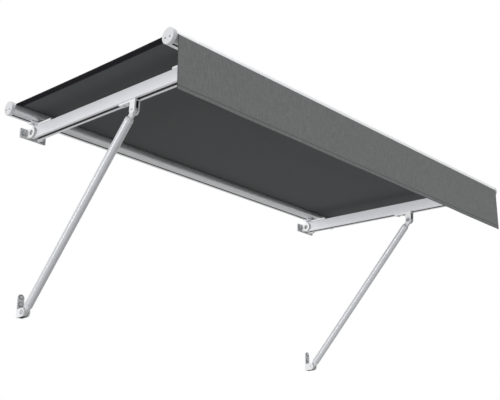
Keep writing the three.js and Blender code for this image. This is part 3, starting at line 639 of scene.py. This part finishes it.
@dataclass
class Wardrobe:
    """Every finish of the awning, made into materials once."""

    rail_frame: "RailFrame"
    # how far the painted shade of the tube grooves, the bracket recess and the forks reaches
    tube_radius: float = 39 * MM
    recess_radius: float = 15.3 * MM
    fork_reach: float = 49.2 * MM
    foot_half: float = 10.4 * MM
    clevis_half: float = 7.4 * MM
    effects: Effects = field(default_factory=Effects)
    made: dict[str, Material] = field(default_factory=dict)
    fittings: dict[str, CoatFinish] = field(default_factory=dict)

    FINISHES = {
        Slot.TUBE: CoatFinish("white_powder_coat", (0.76, 0.765, 0.78), 0.35, metallic=0.6, coat=0.1,
                              peel_height=0.03),
        Slot.STRUT: CoatFinish("strut_satin_coat", (0.56, 0.57, 0.595), 0.36, specular=0.2, coat=0.6,
                               peel_height=0.02),
        Slot.RAIL: DrawnFinish("rail_satin_coat", (0.72, 0.725, 0.755), 0.38, metallic=0.15,
                               stretch=(700.0, 6.0, 700.0), line_height=0.04, tone=0.02),
        Slot.CASTING: CoatFinish("cast_fitting_coat", (0.8, 0.805, 0.82), 0.42, specular=0.3,
                                 peel_scale=500.0, peel_height=0.04),
        # the plate's zinc with the cheeks' pale coat, which is partly painted light on their sideways faces
        Slot.ZINC: ZincFinish("galvanised_plate_painted_light", dark=(0.54, 0.55, 0.56), light=(0.63, 0.64, 0.65),
                              lit_cheek=(0.82, 0.82, 0.83), roughness=0.5, metallic=0.2),
        Slot.FASTENER: DrawnFinish("stainless_fastener", (0.5, 0.51, 0.52), 0.34, metallic=0.7,
                                   stretch=(900.0, 900.0, 900.0), line_height=0.04),
        Slot.CAP: CoatFinish("moulded_white_cap", (0.65, 0.655, 0.675), 0.42, peel_scale=700.0,
                             peel_height=0.03),
        # The deck is a darker copy of the valance's cloth: painted shade on its underside.
        Slot.DECK: ClothFinish("deck_weave_painted_shade", (0.085, 0.088, 0.09), Axis.Y, sheen=0.0),
        Slot.VALANCE: ClothFinish("valance_weave", (0.207, 0.211, 0.212), Axis.Z, mottle=0.75),
    }
    # The deck's side hems are painted near black: painted shade of the doubled cloth.
    HEM_PAINTED_SHADE = ClothFinish("hem_weave_painted_shade", (0.014, 0.014, 0.017), Axis.Y, mottle=0.1, sheen=0.0)
    EYE = CoatFinish("cast_eye_coat", (0.62, 0.63, 0.65), 0.4, specular=0.25, coat=0.3, peel_scale=500.0,
                     peel_height=0.03)
    DECK_THREAD = CoatFinish("dark_thread", (0.03, 0.031, 0.033), 0.7, peel_scale=4000.0, dust=0.0)
    VALANCE_THREAD = CoatFinish("grey_thread", (0.1, 0.103, 0.105), 0.7, peel_scale=4000.0, dust=0.0)
    # Painted shadow: thin black rings laid round the plated bolts' washers.
    SHADOW_RING = CoatFinish("painted_shadow_ring", (0.03, 0.03, 0.032), 0.7, peel_scale=1500.0, dust=0.02)
    SCREW = CoatFinish("dark_screw", (0.16, 0.163, 0.17), 0.4, metallic=0.6, peel_scale=1500.0, dust=0.0)

    def __post_init__(self) -> None:
        """Tells the finishes where the painted shade of slots, recesses and forks lies, and picks the strut
        fittings' own.
        """
        turned = self.rail_frame
        grooves = RoundSunk(tuple(tuple(turned.tube_axis(tube).yz) for tube in TUBES), self.tube_radius)
        low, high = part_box("rail_left")
        slots = SlotSunk(tuple(turned.pivot), tuple(turned.normal), -(low.x + high.x) / 2)
        recess = RoundSunk(((turned.pivot.y, turned.pivot.z),), self.recess_radius)
        for fork, pin, half in (("strut_foot", "foot_pin_left", self.foot_half),
                                ("clevis", "clevis_pin_left", self.clevis_half)):
            low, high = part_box(pin)
            # painted shade between the ears of each fork
            room = ForkSunk(((low.y + high.y) / 2, (low.z + high.z) / 2), self.fork_reach, half, slots.rail_x)
            self.fittings[fork] = replace(self.FINISHES[Slot.CASTING], name=f"cast_{fork}_coat", sunk=room)
        for eye in ("strut_head", "strut_shoe"):
            self.fittings[eye] = self.EYE
        self.finishes = dict(self.FINISHES)
        # painted shade in tube grooves, rail slots and the bracket recess
        for slot, sunk in ((Slot.TUBE, grooves), (Slot.RAIL, slots), (Slot.ZINC, recess)):
            self.finishes[slot] = replace(self.finishes[slot], sunk=sunk)

    def of(self, finish: Finish | Slot) -> Material:
        """Gives the material of a finish, made on first use.

        Args:
            finish: a finish, or the slot whose finish is wanted.

        Returns:
            The material.
        """
        wanted = self.finishes[finish] if isinstance(finish, Slot) else finish
        if wanted.name not in self.made:
            self.made[wanted.name] = wanted.material(self.effects)
        return self.made[wanted.name]


class RailFrame:
    """The turned frame of the canopy: x along the wall, t along the rails, n square to them."""

    def __init__(self) -> None:
        """Reads the tilt pivot and the line of the rails from the record's joints."""
        joints = {joint["name"]: joint for joint in frame["joints"]}
        self.pivot = Vector(joints["canopy_tilt"]["pos_m"])
        self.along = Vector(joints["clevis_left_slide"]["axis"]).normalized()
        self.normal = Vector((0.0, self.along.z, -self.along.y))

    def point(self, x: float, t: float, n: float) -> Vector:
        """Gives the row-frame point at x, t and n."""
        return Vector((x, self.pivot.y, self.pivot.z)) + self.along * t + self.normal * n

    def local(self, point: Vector) -> tuple[float, float]:
        """Gives t and n of a row-frame point."""
        away = point - self.pivot
        return away.dot(self.along), away.dot(self.normal)

    def tube_centre(self, node: str) -> tuple[float, float]:
        """Gives t and n of a tube's centre, from its CAD box."""
        low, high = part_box(node)
        return self.local(Vector((0.0, (low.y + high.y) / 2, (low.z + high.z) / 2)))

    def tube_axis(self, node: str) -> Vector:
        """Gives the point of a tube's axis at x = 0."""
        return self.point(0.0, *self.tube_centre(node))


def new_object(name: str, points: np.ndarray, faces: list[tuple[int, ...]], material: Material) -> Object:
    """Makes a smooth-shaded mesh object.

    Args:
        name: the object's name.
        points: its vertices, one row each.
        faces: its faces as vertex numbers.
        material: its material.

    Returns:
        The linked object.
    """
    mesh = bpy.data.meshes.new(name)
    mesh.from_pydata([tuple(p) for p in points], [], faces)
    mesh.validate()
    mesh.materials.append(material)
    mesh.polygons.foreach_set("use_smooth", [True] * len(mesh.polygons))
    mesh.set_sharp_from_angle(angle=math.radians(SMOOTH_DEGREES))
    made = bpy.data.objects.new(name, mesh)
    bpy.context.scene.collection.objects.link(made)
    return made


def grid_normals(grid: np.ndarray) -> np.ndarray:
    """Gives the unit normals of a grid of points.

    Args:
        grid: points as (rows, columns, 3).

    Returns:
        Normals of the same shape.
    """
    down = np.gradient(grid, axis=0)
    over = np.gradient(grid, axis=1)
    normals = np.cross(down, over)
    return normals / np.maximum(np.linalg.norm(normals, axis=2, keepdims=True), 1e-12)


def sheet_object(name: str, grid: np.ndarray, thickness: float, material: Material) -> Object:
    """Makes a closed sheet of even thickness about a grid of middle points.

    Args:
        name: the object's name.
        grid: middle points as (rows, columns, 3).
        thickness: the sheet's thickness.
        material: its material.

    Returns:
        The linked object.
    """
    rows, columns = grid.shape[:2]
    offset = grid_normals(grid) * thickness / 2
    points = np.concatenate([(grid + offset).reshape(-1, 3), (grid - offset).reshape(-1, 3)])
    count = rows * columns
    faces = []
    for r in range(rows - 1):
        for c in range(columns - 1):
            a, b = r * columns + c, r * columns + c + 1
            d, e = a + columns, b + columns
            faces.append((a, d, e, b))
            faces.append((count + a, count + b, count + e, count + d))
    rim = list(range(columns))
    rim += [r * columns + columns - 1 for r in range(1, rows)]
    rim += [(rows - 1) * columns + c for c in range(columns - 2, -1, -1)]
    rim += [r * columns for r in range(rows - 2, 0, -1)]
    for here, there in zip(rim, rim[1:] + rim[:1]):
        faces.append((here, there, count + there, count + here))
    return new_object(name, points, faces, material)


def bar_object(name: str, start: Vector, end: Vector, radius: float, sides: int,
               material: Material) -> Object:
    """Makes a round bar between two points.

    Args:
        name: the object's name.
        start: one end.
        end: the other end.
        radius: the bar's radius.
        sides: the number of facets.
        material: its material.

    Returns:
        The linked object.
    """
    axis = (end - start).normalized()
    side = axis.orthogonal().normalized()
    other = axis.cross(side)
    ring = [side * math.cos(a) * radius + other * math.sin(a) * radius
            for a in np.linspace(0, 2 * math.pi, sides, endpoint=False)]
    points = np.array([start + v for v in ring] + [end + v for v in ring])
    faces = [(i, (i + 1) % sides, sides + (i + 1) % sides, sides + i) for i in range(sides)]
    faces += [tuple(range(sides))[::-1], tuple(range(sides, 2 * sides))]
    return new_object(name, points, faces, material)


@dataclass
class StitchRow:
    """A row of stitches of one thread along a seam."""

    pitch: float = 4.5 * MM
    length: float = 3.4 * MM
    width: float = 0.55 * MM
    rise: float = 0.35 * MM
    top_share: float = 0.4
    sunk_share: float = 0.3

    HUMP = ((0.0, 0.0), (0.25, 0.8), (0.75, 0.8), (1.0, 0.0))

    def build(self, name: str, line: np.ndarray, normals: np.ndarray, material: Material) -> Object:
        """Builds the row as one mesh of short humps.

        Args:
            name: the object's name.
            line: points along the seam.
            normals: the cloth's outward normal at each point.
            material: the thread's material.

        Returns:
            The linked object.
        """
        steps = np.linalg.norm(np.diff(line, axis=0), axis=1)
        travelled = np.concatenate([[0.0], np.cumsum(steps)])
        starts = np.arange(self.pitch, travelled[-1] - self.pitch, self.pitch)
        points, faces = [], []

        def sample(values: np.ndarray, where: float) -> np.ndarray:
            """Reads the seam at a travelled length."""
            return np.array([np.interp(where, travelled, values[:, k]) for k in range(3)])

        for start in starts:
            base = len(points)
            middle = sample(normals, start + self.length / 2)
            ends = sample(line, start + self.length) - sample(line, start)
            across = np.cross(middle, ends / np.linalg.norm(ends)) * self.width / 2
            for share, lift in self.HUMP:
                centre = sample(line, start + self.length * share)
                top = centre + middle * self.rise * lift
                low = centre - middle * self.rise * self.sunk_share
                narrow = across * self.top_share
                points += [low - across, top - narrow, top + narrow, low + across]
            for ring in range(3):
                a = base + 4 * ring
                for k in range(4):
                    m = (k + 1) % 4
                    faces.append((a + k, a + m, a + 4 + m, a + 4 + k))
            faces += [(base + 3, base + 2, base + 1, base), tuple(base + 12 + k for k in range(4))]
        return new_object(name, np.array(points), faces, material)


@dataclass
class SewnCloth:
    """What the deck and the valance have in common: their cloth, their welts and their place."""

    rail_frame: RailFrame
    wardrobe: Wardrobe
    half: float = 1319.3 * MM
    middle: float = 17.8 * MM
    thickness: float = 0.7 * MM
    layer_gap: float = 0.05 * MM
    tube_radius: float = 39 * MM
    welt_depth: float = 6.6 * MM
    welt_radius: float = 3.8 * MM
    welt_sides: int = 16
    seam: StitchRow = field(default_factory=StitchRow)

    def _profile(self) -> np.ndarray:
        """Gives the cloth's middle line, which each cloth works out in its own frame."""
        raise NotImplementedError

    def flat(self) -> tuple[float, float]:
        """Gives the width and length that the cloth is cut to."""
        return 2 * self.half, path_length(self._profile())


@dataclass
class Deck(SewnCloth):
    """The stretched cloth between the tubes, its side hems, its welts and its seams."""

    hem: float = 39 * MM
    seam_inset: float = 5 * MM
    normal_step: float = 1 * MM
    slot_degrees: float = 38.0
    clear: float = 1.5 * MM
    sag: float = 5 * MM
    sag_held: float = 0.55
    edge_pull: float = 1.2 * MM
    columns: int = 121
    hem_columns: int = 7
    rows: int = 61

    LEAD_IN = (0.0, 0.5, 0.9)
    LEAD_OUT = (0.1, 0.5, 1.0)

    def _profile(self) -> np.ndarray:
        """Works out the welts, the plain stretch and the middle line of the cloth.

        Returns:
            The middle line in (t, n), from the rear welt to the front welt.
        """
        rear, front = (np.array(self.rail_frame.tube_centre(tube)) for tube in TUBES)
        slot = math.radians(self.slot_degrees)
        out = np.array([math.cos(slot), math.sin(slot)])
        deep, bent = self.tube_radius - self.welt_depth, self.tube_radius + self.clear
        rear_bend, rear_welt = rear + out * bent, rear + out * deep
        back = np.array([-out[0], out[1]])
        front_bend, front_welt = front + back * bent, front + back * deep
        self.welts = (rear_welt, front_welt)
        span = np.linspace(0.0, 1.0, self.rows)[:, None]
        straight = rear_bend + (front_bend - rear_bend) * span
        self.plain = (rear_bend, front_bend)
        lead_in = [rear_welt + (rear_bend - rear_welt) * s for s in self.LEAD_IN]
        lead_out = [front_bend + (front_welt - front_bend) * s for s in self.LEAD_OUT]
        return np.concatenate([lead_in, straight, lead_out])

    def _grid(self, profile: np.ndarray, xs: np.ndarray) -> np.ndarray:
        """Lays the profile along x, with the sag of stretched cloth.

        Args:
            profile: the middle line in (t, n).
            xs: the places along the wall.

        Returns:
            The grid of middle points as (rows, columns, 3).
        """
        start, stop = self.plain[0][0], self.plain[1][0]
        share = np.clip((profile[:, 0] - start) / (stop - start), 0.0, 1.0)
        bow = 4 * share * (1 - share)
        grid = np.zeros((len(profile), len(xs), 3))
        for column, x in enumerate(xs):
            side = abs(x) / self.half
            drop = self.sag * bow * (1.0 - self.sag_held * side ** 4)
            pulled = x - math.copysign(self.edge_pull, x) * bow * side ** 6
            for row, (t, n) in enumerate(profile):
                grid[row, column] = self.rail_frame.point(pulled[row] + self.middle, t, n - drop[row])
        return grid

    def build(self) -> list[Object]:
        """Builds the deck and everything sewn to it.

        Returns:
            The cloth first, then the pieces that go with it.
        """
        profile = self._profile()
        cloth = self.wardrobe.of(Slot.DECK)
        grid = self._grid(profile, np.linspace(-self.half, self.half, self.columns))
        deck = sheet_object("deck_cloth_sheet", grid, self.thickness, cloth)
        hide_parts("fabric_deck")
        pieces = [deck]
        inner = profile[len(self.LEAD_IN):-len(self.LEAD_OUT)]
        for side, name in ((-1, "left"), (1, "right")):
            xs = np.linspace(self.half - self.hem, self.half, self.hem_columns) * side
            strip = self._grid(inner, np.sort(xs))
            under = grid_normals(strip)
            below = strip - np.sign(under[:, :, 2:3]) * under * (self.thickness + self.layer_gap)
            # each side hem strip is painted near black as shade
            hem = sheet_object(f"deck_side_hem_{name}", below, self.thickness,
                               self.wardrobe.of(Wardrobe.HEM_PAINTED_SHADE))
            pieces.append(hem)
            pieces += self._stitching(name, side, inner)
        for name, (t, n) in zip(("rear", "front"), self.welts):
            start = self.rail_frame.point(self.middle - self.half, t, n)
            end = self.rail_frame.point(self.middle + self.half, t, n)
            pieces.append(bar_object(f"deck_welt_{name}", start, end, self.welt_radius, self.welt_sides,
                                     cloth))
        return pieces

    def _stitching(self, name: str, side: int, inner: np.ndarray) -> list[Object]:
        """Sews one side hem with two rows on each face.

        Args:
            name: left or right.
            side: -1 for left, 1 for right.
            inner: the straight part of the profile.

        Returns:
            The rows of stitches.
        """
        thread = self.wardrobe.of(Wardrobe.DECK_THREAD)
        rows = []
        for number, inset in enumerate((self.seam_inset, self.hem - self.seam_inset), 1):
            x = side * (self.half - inset)
            grid = self._grid(inner, np.array([x - self.normal_step, x, x + self.normal_step]))
            normal = grid_normals(grid)[:, 1]
            normal *= np.sign(normal[:, 2:3])
            line = grid[:, 1]
            above = line + normal * (self.thickness / 2)
            below = line - normal * (self.thickness * 1.5 + self.layer_gap)
            rows.append(self.seam.build(f"deck_stitch_top_{name}_{number}", above, normal, thread))
            rows.append(self.seam.build(f"deck_stitch_under_{name}_{number}", below, -normal, thread))
        return rows


@dataclass
class Valance(SewnCloth):
    """The cloth that hangs from the front tube, with its lower hem and its welt."""

    half: float = 1319.8 * MM
    drop: float = 260 * MM
    hem: float = 20 * MM
    # half widths of the painted shade lines at the hem seam, the foot and the side edges
    seam_crease: float = 2.4 * MM
    foot_crease: float = 2.8 * MM
    side_crease: float = 4 * MM
    seam_inset: float = 2 * MM
    slot_degrees: float = 4.4
    clear: float = 3 * MM
    bend_in: float = 0.2 * MM
    bend_down: float = 0.8 * MM
    hang_start: float = 3 * MM
    ripple: float = 0.9 * MM
    columns: int = 201
    rows: int = 40
    hem_rows: int = 6

    LEAD = (0.0, 0.4, 0.8)
    WAVES = ((1.0, 0.62, 0.7), (0.45, 0.27, 2.1))

    def _profile(self) -> np.ndarray:
        """Works out the welt and the cloth's middle line.

        Returns:
            The middle line as (out, up) from the tube's centre, from the welt down.
        """
        fall = math.atan2(-self.rail_frame.along.z, -self.rail_frame.along.y)
        angle = math.radians(self.slot_degrees) - fall
        out = np.array([math.cos(angle), math.sin(angle)])
        self.welt = out * (self.tube_radius - self.welt_depth)
        corner = out * (self.tube_radius + self.clear)
        lead = [self.welt + (corner - self.welt) * s for s in self.LEAD]
        bend = corner - np.array([self.bend_in, self.bend_down])
        foot = np.array([corner[0], -self.drop])
        top = np.array([corner[0], corner[1] - self.hang_start])
        hang = [top + (foot - top) * s for s in np.linspace(0.0, 1.0, self.rows)]
        return np.array([*lead, bend, *hang])

    def _wave(self, x: float, depth: np.ndarray) -> np.ndarray:
        """Gives how far the hanging cloth stands out, growing with its depth.

        Args:
            x: the place along the wall.
            depth: the share of the drop at each row.

        Returns:
            The distance at each row.
        """
        waves = sum(share * math.sin(2 * math.pi * x / length + phase)
                    for share, length, phase in self.WAVES)
        return self.ripple * waves * depth ** 1.5

    def _grid(self, profile: np.ndarray, xs: np.ndarray, lift: float = 0.0) -> np.ndarray:
        """Lays the profile along x.

        Args:
            profile: the middle line in (out, up).
            xs: the places along the wall.
            lift: how far the grid stands in front of the cloth.

        Returns:
            The grid of middle points as (rows, columns, 3).
        """
        centre = self.rail_frame.tube_axis("front_tube")
        grid = np.zeros((len(profile), len(xs), 3))
        depth = np.clip(-profile[:, 1] / self.drop, 0.0, 1.0)
        for column, x in enumerate(xs):
            stand = self._wave(x, depth) + lift
            grid[:, column, 0] = x + self.middle
            grid[:, column, 1] = centre.y - profile[:, 0] - stand
            grid[:, column, 2] = centre.z + profile[:, 1]
        return grid

    def _cloth(self) -> Material:
        """Makes the valance's cloth, with painted shade along the crease above its hem and along the folds at its
        edges.

        Returns:
            The material.
        """
        centre = self.rail_frame.tube_axis("front_tube")
        foot = centre.z - self.drop
        crease_shade_lines = (("Z", foot + self.hem, self.seam_crease), ("Z", foot, self.foot_crease),
                   ("X", self.middle - self.half, self.side_crease),
                   ("X", self.middle + self.half, self.side_crease))
        return self.wardrobe.of(replace(Wardrobe.FINISHES[Slot.VALANCE], crease_shade_lines=crease_shade_lines))

    def build(self) -> list[Object]:
        """Builds the valance and everything sewn to it.

        Returns:
            The cloth first, then the pieces that go with it.
        """
        profile = self._profile()
        xs = np.linspace(-self.half, self.half, self.columns)
        cloth = self._cloth()
        valance = sheet_object("valance_cloth_sheet", self._grid(profile, xs), self.thickness, cloth)
        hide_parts("valance")
        levels = np.linspace(-self.drop, self.hem - self.drop, self.hem_rows)
        turned = np.stack([np.full(self.hem_rows, profile[-1][0]), levels], axis=1)
        layer = self.thickness + self.layer_gap
        hem_back = sheet_object("valance_hem_back", self._grid(turned, xs, -layer), self.thickness, cloth)
        thread = self.wardrobe.of(Wardrobe.VALANCE_THREAD)
        line = self._grid(np.array([[profile[-1][0], self.hem - self.drop - self.seam_inset]]), xs)[0]
        front = np.tile([0.0, -1.0, 0.0], (len(xs), 1))
        sew = self.seam.build
        rows = [sew("valance_stitch_front", line + front * self.thickness / 2, front, thread),
                sew("valance_stitch_back", line - front * (self.thickness / 2 + layer), -front, thread)]
        centre = self.rail_frame.tube_axis("front_tube")
        place = Vector((self.middle, centre.y - self.welt[0], centre.z + self.welt[1]))
        reach = Vector((self.half, 0.0, 0.0))
        welt = bar_object("valance_welt", place - reach, place + reach, self.welt_radius, self.welt_sides,
                          cloth)
        return [valance, hem_back, *rows, welt]


@dataclass
class MetalFrame:
    """The rails, tubes, struts, fittings and fasteners, kept as packed and dressed."""

    wardrobe: Wardrobe
    edge: float = 0.5 * MM
    edge_segments: int = 2
    sharp_degrees: float = 32.0
    join: float = 0.002 * MM

    EXTRUDED = (Slot.TUBE, Slot.RAIL, Slot.STRUT)

    def _keep_crisp(self, node: Object) -> None:
        """Keeps the sharp edges of a drawn or extruded profile, and its round faces smooth.

        Args:
            node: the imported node.
        """
        crisp = node.modifiers.new("crisp_edges", "EDGE_SPLIT")
        crisp.split_angle = math.radians(self.sharp_degrees)

    def _soften(self, node: Object) -> None:
        """Rounds the edges of a casting, a plate or a fastener a little.

        Args:
            node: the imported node.
        """
        soft = node.modifiers.new("soft_edges", "BEVEL")
        soft.width = self.edge
        soft.segments = self.edge_segments
        soft.limit_method = "ANGLE"
        soft.angle_limit = math.radians(self.sharp_degrees)
        even = node.modifiers.new("even_faces", "WEIGHTED_NORMAL")
        even.mode = "FACE_AREA_WITH_ANGLE"
        even.keep_sharp = True

    def dress(self) -> None:
        """Gives every kept CAD node its finish, smooth round faces and soft edges."""
        slots = {row["node"]: row["material_slot"] for row in frame["record"]["subparts"]}
        for name, node in frame["nodes"].items():
            if node.hide_render:
                continue
            fitting = self.wardrobe.fittings.get(name.rsplit("_", 1)[0])
            finish = self.wardrobe.of(fitting or Slot(slots[name]))
            node.data.materials.clear()
            node.data.materials.append(finish)
            node.data.polygons.foreach_set("use_smooth", [True] * len(node.data.polygons))
            node.data.polygons.foreach_set("material_index", [0] * len(node.data.polygons))
            joined = node.modifiers.new("joined_facets", "WELD")
            joined.merge_threshold = self.join
            if Slot(slots[name]) in self.EXTRUDED:
                self._keep_crisp(node)
            else:
                self._soften(node)
            LOG.info("dressed %s", name)


@dataclass
class SmallParts:
    """Painted shadow rings under the washers of the plated bolts, and heads over the cap screws."""

    wardrobe: Wardrobe
    rail_frame: RailFrame
    shadow_ring_inner: float = 11.3 * MM
    shadow_ring_outer: float = 13.2 * MM
    shadow_ring_high: float = 0.8 * MM
    lift: float = 0.05 * MM
    head_radius: float = 4.1 * MM
    head_high: float = 1.9 * MM
    head_shoulder: float = 0.7
    head_top: float = 0.8
    socket_radius: float = 1.9 * MM
    socket_taper: float = 0.7
    socket_floor: float = 0.82
    head_under: float = 0.78
    head_hollow: float = 0.02 * MM
    stub_radius: float = 3.7 * MM
    stub_proud: float = 1.4 * MM
    cap_screw_side: float = 15 * MM
    cap_screw_drop: float = 8 * MM
    bracket_plate: float = 8 * MM
    foot_plate: float = 6 * MM
    facets: int = 28

    def _turned(self, name: str, outline: list[tuple[float, float]], place: Vector, axis: Vector,
                material: Material) -> Object:
        """Turns a closed outline about an axis.

        Args:
            name: the object's name.
            outline: points of (radius, height along the axis), in order round the section.
            place: the axis's foot.
            axis: the axis's direction.
            material: its material.

        Returns:
            The linked object.
        """
        side = axis.orthogonal().normalized()
        other = axis.cross(side)
        points = []
        for angle in np.linspace(0, 2 * math.pi, self.facets, endpoint=False):
            out = side * math.cos(angle) + other * math.sin(angle)
            points += [place + out * radius + axis * high for radius, high in outline]
        count = len(outline)
        faces = []
        for turn in range(self.facets):
            here, there = turn * count, (turn + 1) % self.facets * count
            for k in range(count):
                m = (k + 1) % count
                faces.append((here + k, there + k, there + m, here + m))
        return new_object(name, np.array(points), faces, material)

    def build(self) -> None:
        """Builds every painted shadow ring and every screw head."""
        shadow_ring, screw = self.wardrobe.of(Wardrobe.SHADOW_RING), self.wardrobe.of(Wardrobe.SCREW)
        # painted shadow: a thin black ring round each plated bolt's washer
        ring = [(self.shadow_ring_inner, 0.0), (self.shadow_ring_outer, 0.0), (self.shadow_ring_outer, self.shadow_ring_high),
                (self.shadow_ring_inner, self.shadow_ring_high)]
        out = Vector((0.0, -1.0, 0.0))
        for node in frame["nodes"]:
            if not node.startswith(("wall_bolt", "foot_bolt")):
                continue
            face = self.bracket_plate if node.startswith("wall") else self.foot_plate
            low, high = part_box(node)
            place = Vector(((low.x + high.x) / 2, -face - self.lift, (low.z + high.z) / 2))
            made = self._turned(f"seal_{node}", ring, place, out, shadow_ring)
            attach(made, "wall_fittings")
            LOG.info("made %s", made.name)
        for tube in TUBES:
            t, n = self.rail_frame.tube_centre(tube)
            for end, sign in (("left", -1), ("right", 1)):
                low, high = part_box(f"{tube}_cap_{end}")
                face = high.x - self.stub_proud if sign > 0 else low.x + self.stub_proud
                for number, across in enumerate((-self.cap_screw_side, self.cap_screw_side), 1):
                    place = self.rail_frame.point(face, t + across, n - self.cap_screw_drop)
                    place += Vector((sign * self.lift, 0.0, 0.0))
                    made = self._turned(f"{tube}_cap_screw_{end}_{number}", self._head(), place,
                                        Vector((float(sign), 0.0, 0.0)), screw)
                    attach(made, "canopy")
                    LOG.info("made %s", made.name)

    def _head(self) -> list[tuple[float, float]]:
        """Gives the outline of a screw head that covers the stub on the cap.

        Returns:
            Points of (radius, height), in order round the section.
        """
        high, floor = self.head_high, self.head_high * self.socket_floor
        under = self.head_high * self.head_under
        return [(self.stub_radius, 0.0), (self.head_radius, 0.0),
                (self.head_radius, high * self.head_shoulder), (self.head_radius * self.head_top, high),
                (self.socket_radius, high), (self.socket_radius * self.socket_taper, floor),
                (self.head_hollow, floor), (self.head_hollow, under), (self.stub_radius, under)]


@dataclass
class Studio:
    """The floor, the light and the camera."""

    floor_level: float = -2.45
    floor_half: float = 9.0
    camera_place: tuple[float, float, float] = (-3.5800, -4.0832, -2.0707)
    heading_degrees: float = 45.480
    pitch_degrees: float = 16.52
    focal_pixels: float = 913.8
    picture_width: float = 500.0
    sensor: float = 36.0
    shift: float = 0.12
    ambient: float = 0.38
    floor_dark: Colour = (0.7, 0.7, 0.7)
    floor_light: Colour = (0.74, 0.74, 0.735)
    floor_scale: float = 0.8
    floor_roughness: float = 0.9

    WHITE = (1.0, 1.0, 1.0, 1.0)

    def build(self) -> None:
        """Sets up floor, light and camera."""
        self._floor()
        self._world()
        self._lamp("key", energy=1.9, direction=(-0.95, 0.17, -0.14), softness=25.0)
        self._lamp("front", energy=0.35, direction=(-0.1, -0.97, 0.2), softness=60.0)
        self._lamp("top", energy=1.3, direction=(0.15, -0.25, 0.95), softness=40.0)
        self._camera()
        bpy.context.scene.view_settings.view_transform = "Standard"

    def _floor(self) -> None:
        """Lays a pale floor that only its upper face shows."""
        h, z = self.floor_half, self.floor_level
        points = np.array([(-h, -h, z), (h, -h, z), (h, h, z), (-h, h, z)])
        material, nodes, shader = start_material("pale_floor")
        noise = nodes.add("ShaderNodeTexNoise", in_Scale=self.floor_scale).outputs["Fac"]
        nodes.fill(shader, Base_Color=nodes.mix(noise, rgba(self.floor_dark), rgba(self.floor_light)),
                   Roughness=self.floor_roughness)
        back = nodes.add("ShaderNodeNewGeometry").outputs["Backfacing"]
        clear = nodes.add("ShaderNodeBsdfTransparent").outputs[0]
        self._blend(nodes, "Material Output", back, shader.outputs[0], clear)
        floor = new_object("studio_floor", points, [(0, 1, 2, 3)], material)
        floor.visible_shadow = False

    def _world(self) -> None:
        """Makes a white surround that lights the object at a lower level than it shows."""
        world = bpy.data.worlds.new("studio_world")
        bpy.context.scene.world = world
        world.use_nodes = True
        nodes = Nodes(world.node_tree)
        light = nodes.add("ShaderNodeLightPath")
        shown = nodes.math("MAXIMUM", light.outputs["Is Camera Ray"], light.outputs["Is Glossy Ray"])
        shown = nodes.math("MAXIMUM", shown, light.outputs["Is Transmission Ray"])
        plain = world.node_tree.nodes["Background"]
        nodes.fill(plain, Color=self.WHITE, Strength=self.ambient)
        white = nodes.add("ShaderNodeBackground", in_Color=self.WHITE, in_Strength=1.0)
        self._blend(nodes, "World Output", shown, plain.outputs[0], white.outputs[0])

    @staticmethod
    def _blend(nodes: Nodes, output: str, factor: NodeSocket, first: NodeSocket, second: NodeSocket) -> None:
        """Shows one shader or another.

        Args:
            nodes: the tree's helper.
            output: the name of the tree's output node.
            factor: 0 for the first shader, 1 for the second.
            first: the first shader.
            second: the second shader.
        """
        mix = nodes.add("ShaderNodeMixShader", in_Fac=factor)
        nodes.tree.links.new(first, mix.inputs[1])
        nodes.tree.links.new(second, mix.inputs[2])
        nodes.fill(nodes.tree.nodes[output], Surface=mix.outputs[0])

    @staticmethod
    def _lamp(name: str, energy: float, direction: Colour, softness: float) -> None:
        """Adds a soft distant lamp.

        Args:
            name: the lamp's name.
            energy: its strength.
            direction: where it stands, seen from the object.
            softness: its apparent size in degrees.
        """
        lamp = bpy.data.lights.new(name, "SUN")
        lamp.energy = energy
        lamp.angle = math.radians(softness)
        made = bpy.data.objects.new(name, lamp)
        made.rotation_euler = Vector(direction).to_track_quat("Z", "Y").to_euler()
        bpy.context.scene.collection.objects.link(made)

    def _camera(self) -> None:
        """Places the camera at the photograph's viewing angle."""
        camera = bpy.data.cameras.new("camera")
        camera.sensor_width = self.sensor
        camera.lens = self.focal_pixels * self.sensor / self.picture_width
        camera.shift_y = self.shift
        made = bpy.data.objects.new("camera", camera)
        made.location = self.camera_place
        heading, pitch = math.radians(self.heading_degrees), math.radians(self.pitch_degrees)
        look = Vector((math.sin(heading) * math.cos(pitch), math.cos(heading) * math.cos(pitch),
                       math.sin(pitch)))
        made.rotation_euler = look.to_track_quat("-Z", "Y").to_euler()
        bpy.context.scene.collection.objects.link(made)
        bpy.context.scene.camera = made


def declare(pieces: list[Object], flat: tuple[float, float]) -> None:
    """Args:
        pieces: the cloth first, then what is sewn to it.
        flat: the cloth's cut width and length in metres; not used.
    """
    for piece in pieces:
        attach(piece, "canopy")
        LOG.info("made %s", piece.name)


def path_length(profile: np.ndarray) -> float:
    """Gives the length of a line of points."""
    return float(np.linalg.norm(np.diff(profile, axis=0), axis=1).sum())


def main() -> None:
    """Builds the cloth, dresses the frame and sets up the studio."""
    logging.basicConfig(level=logging.INFO)
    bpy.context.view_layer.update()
    rail_frame = RailFrame()
    wardrobe = Wardrobe(rail_frame)
    deck = Deck(rail_frame, wardrobe)
    declare(deck.build(), deck.flat())
    valance = Valance(rail_frame, wardrobe)
    declare(valance.build(), valance.flat())
    MetalFrame(wardrobe).dress()
    SmallParts(wardrobe, rail_frame).build()
    Studio().build()


if __name__ == "__main__":
    main()
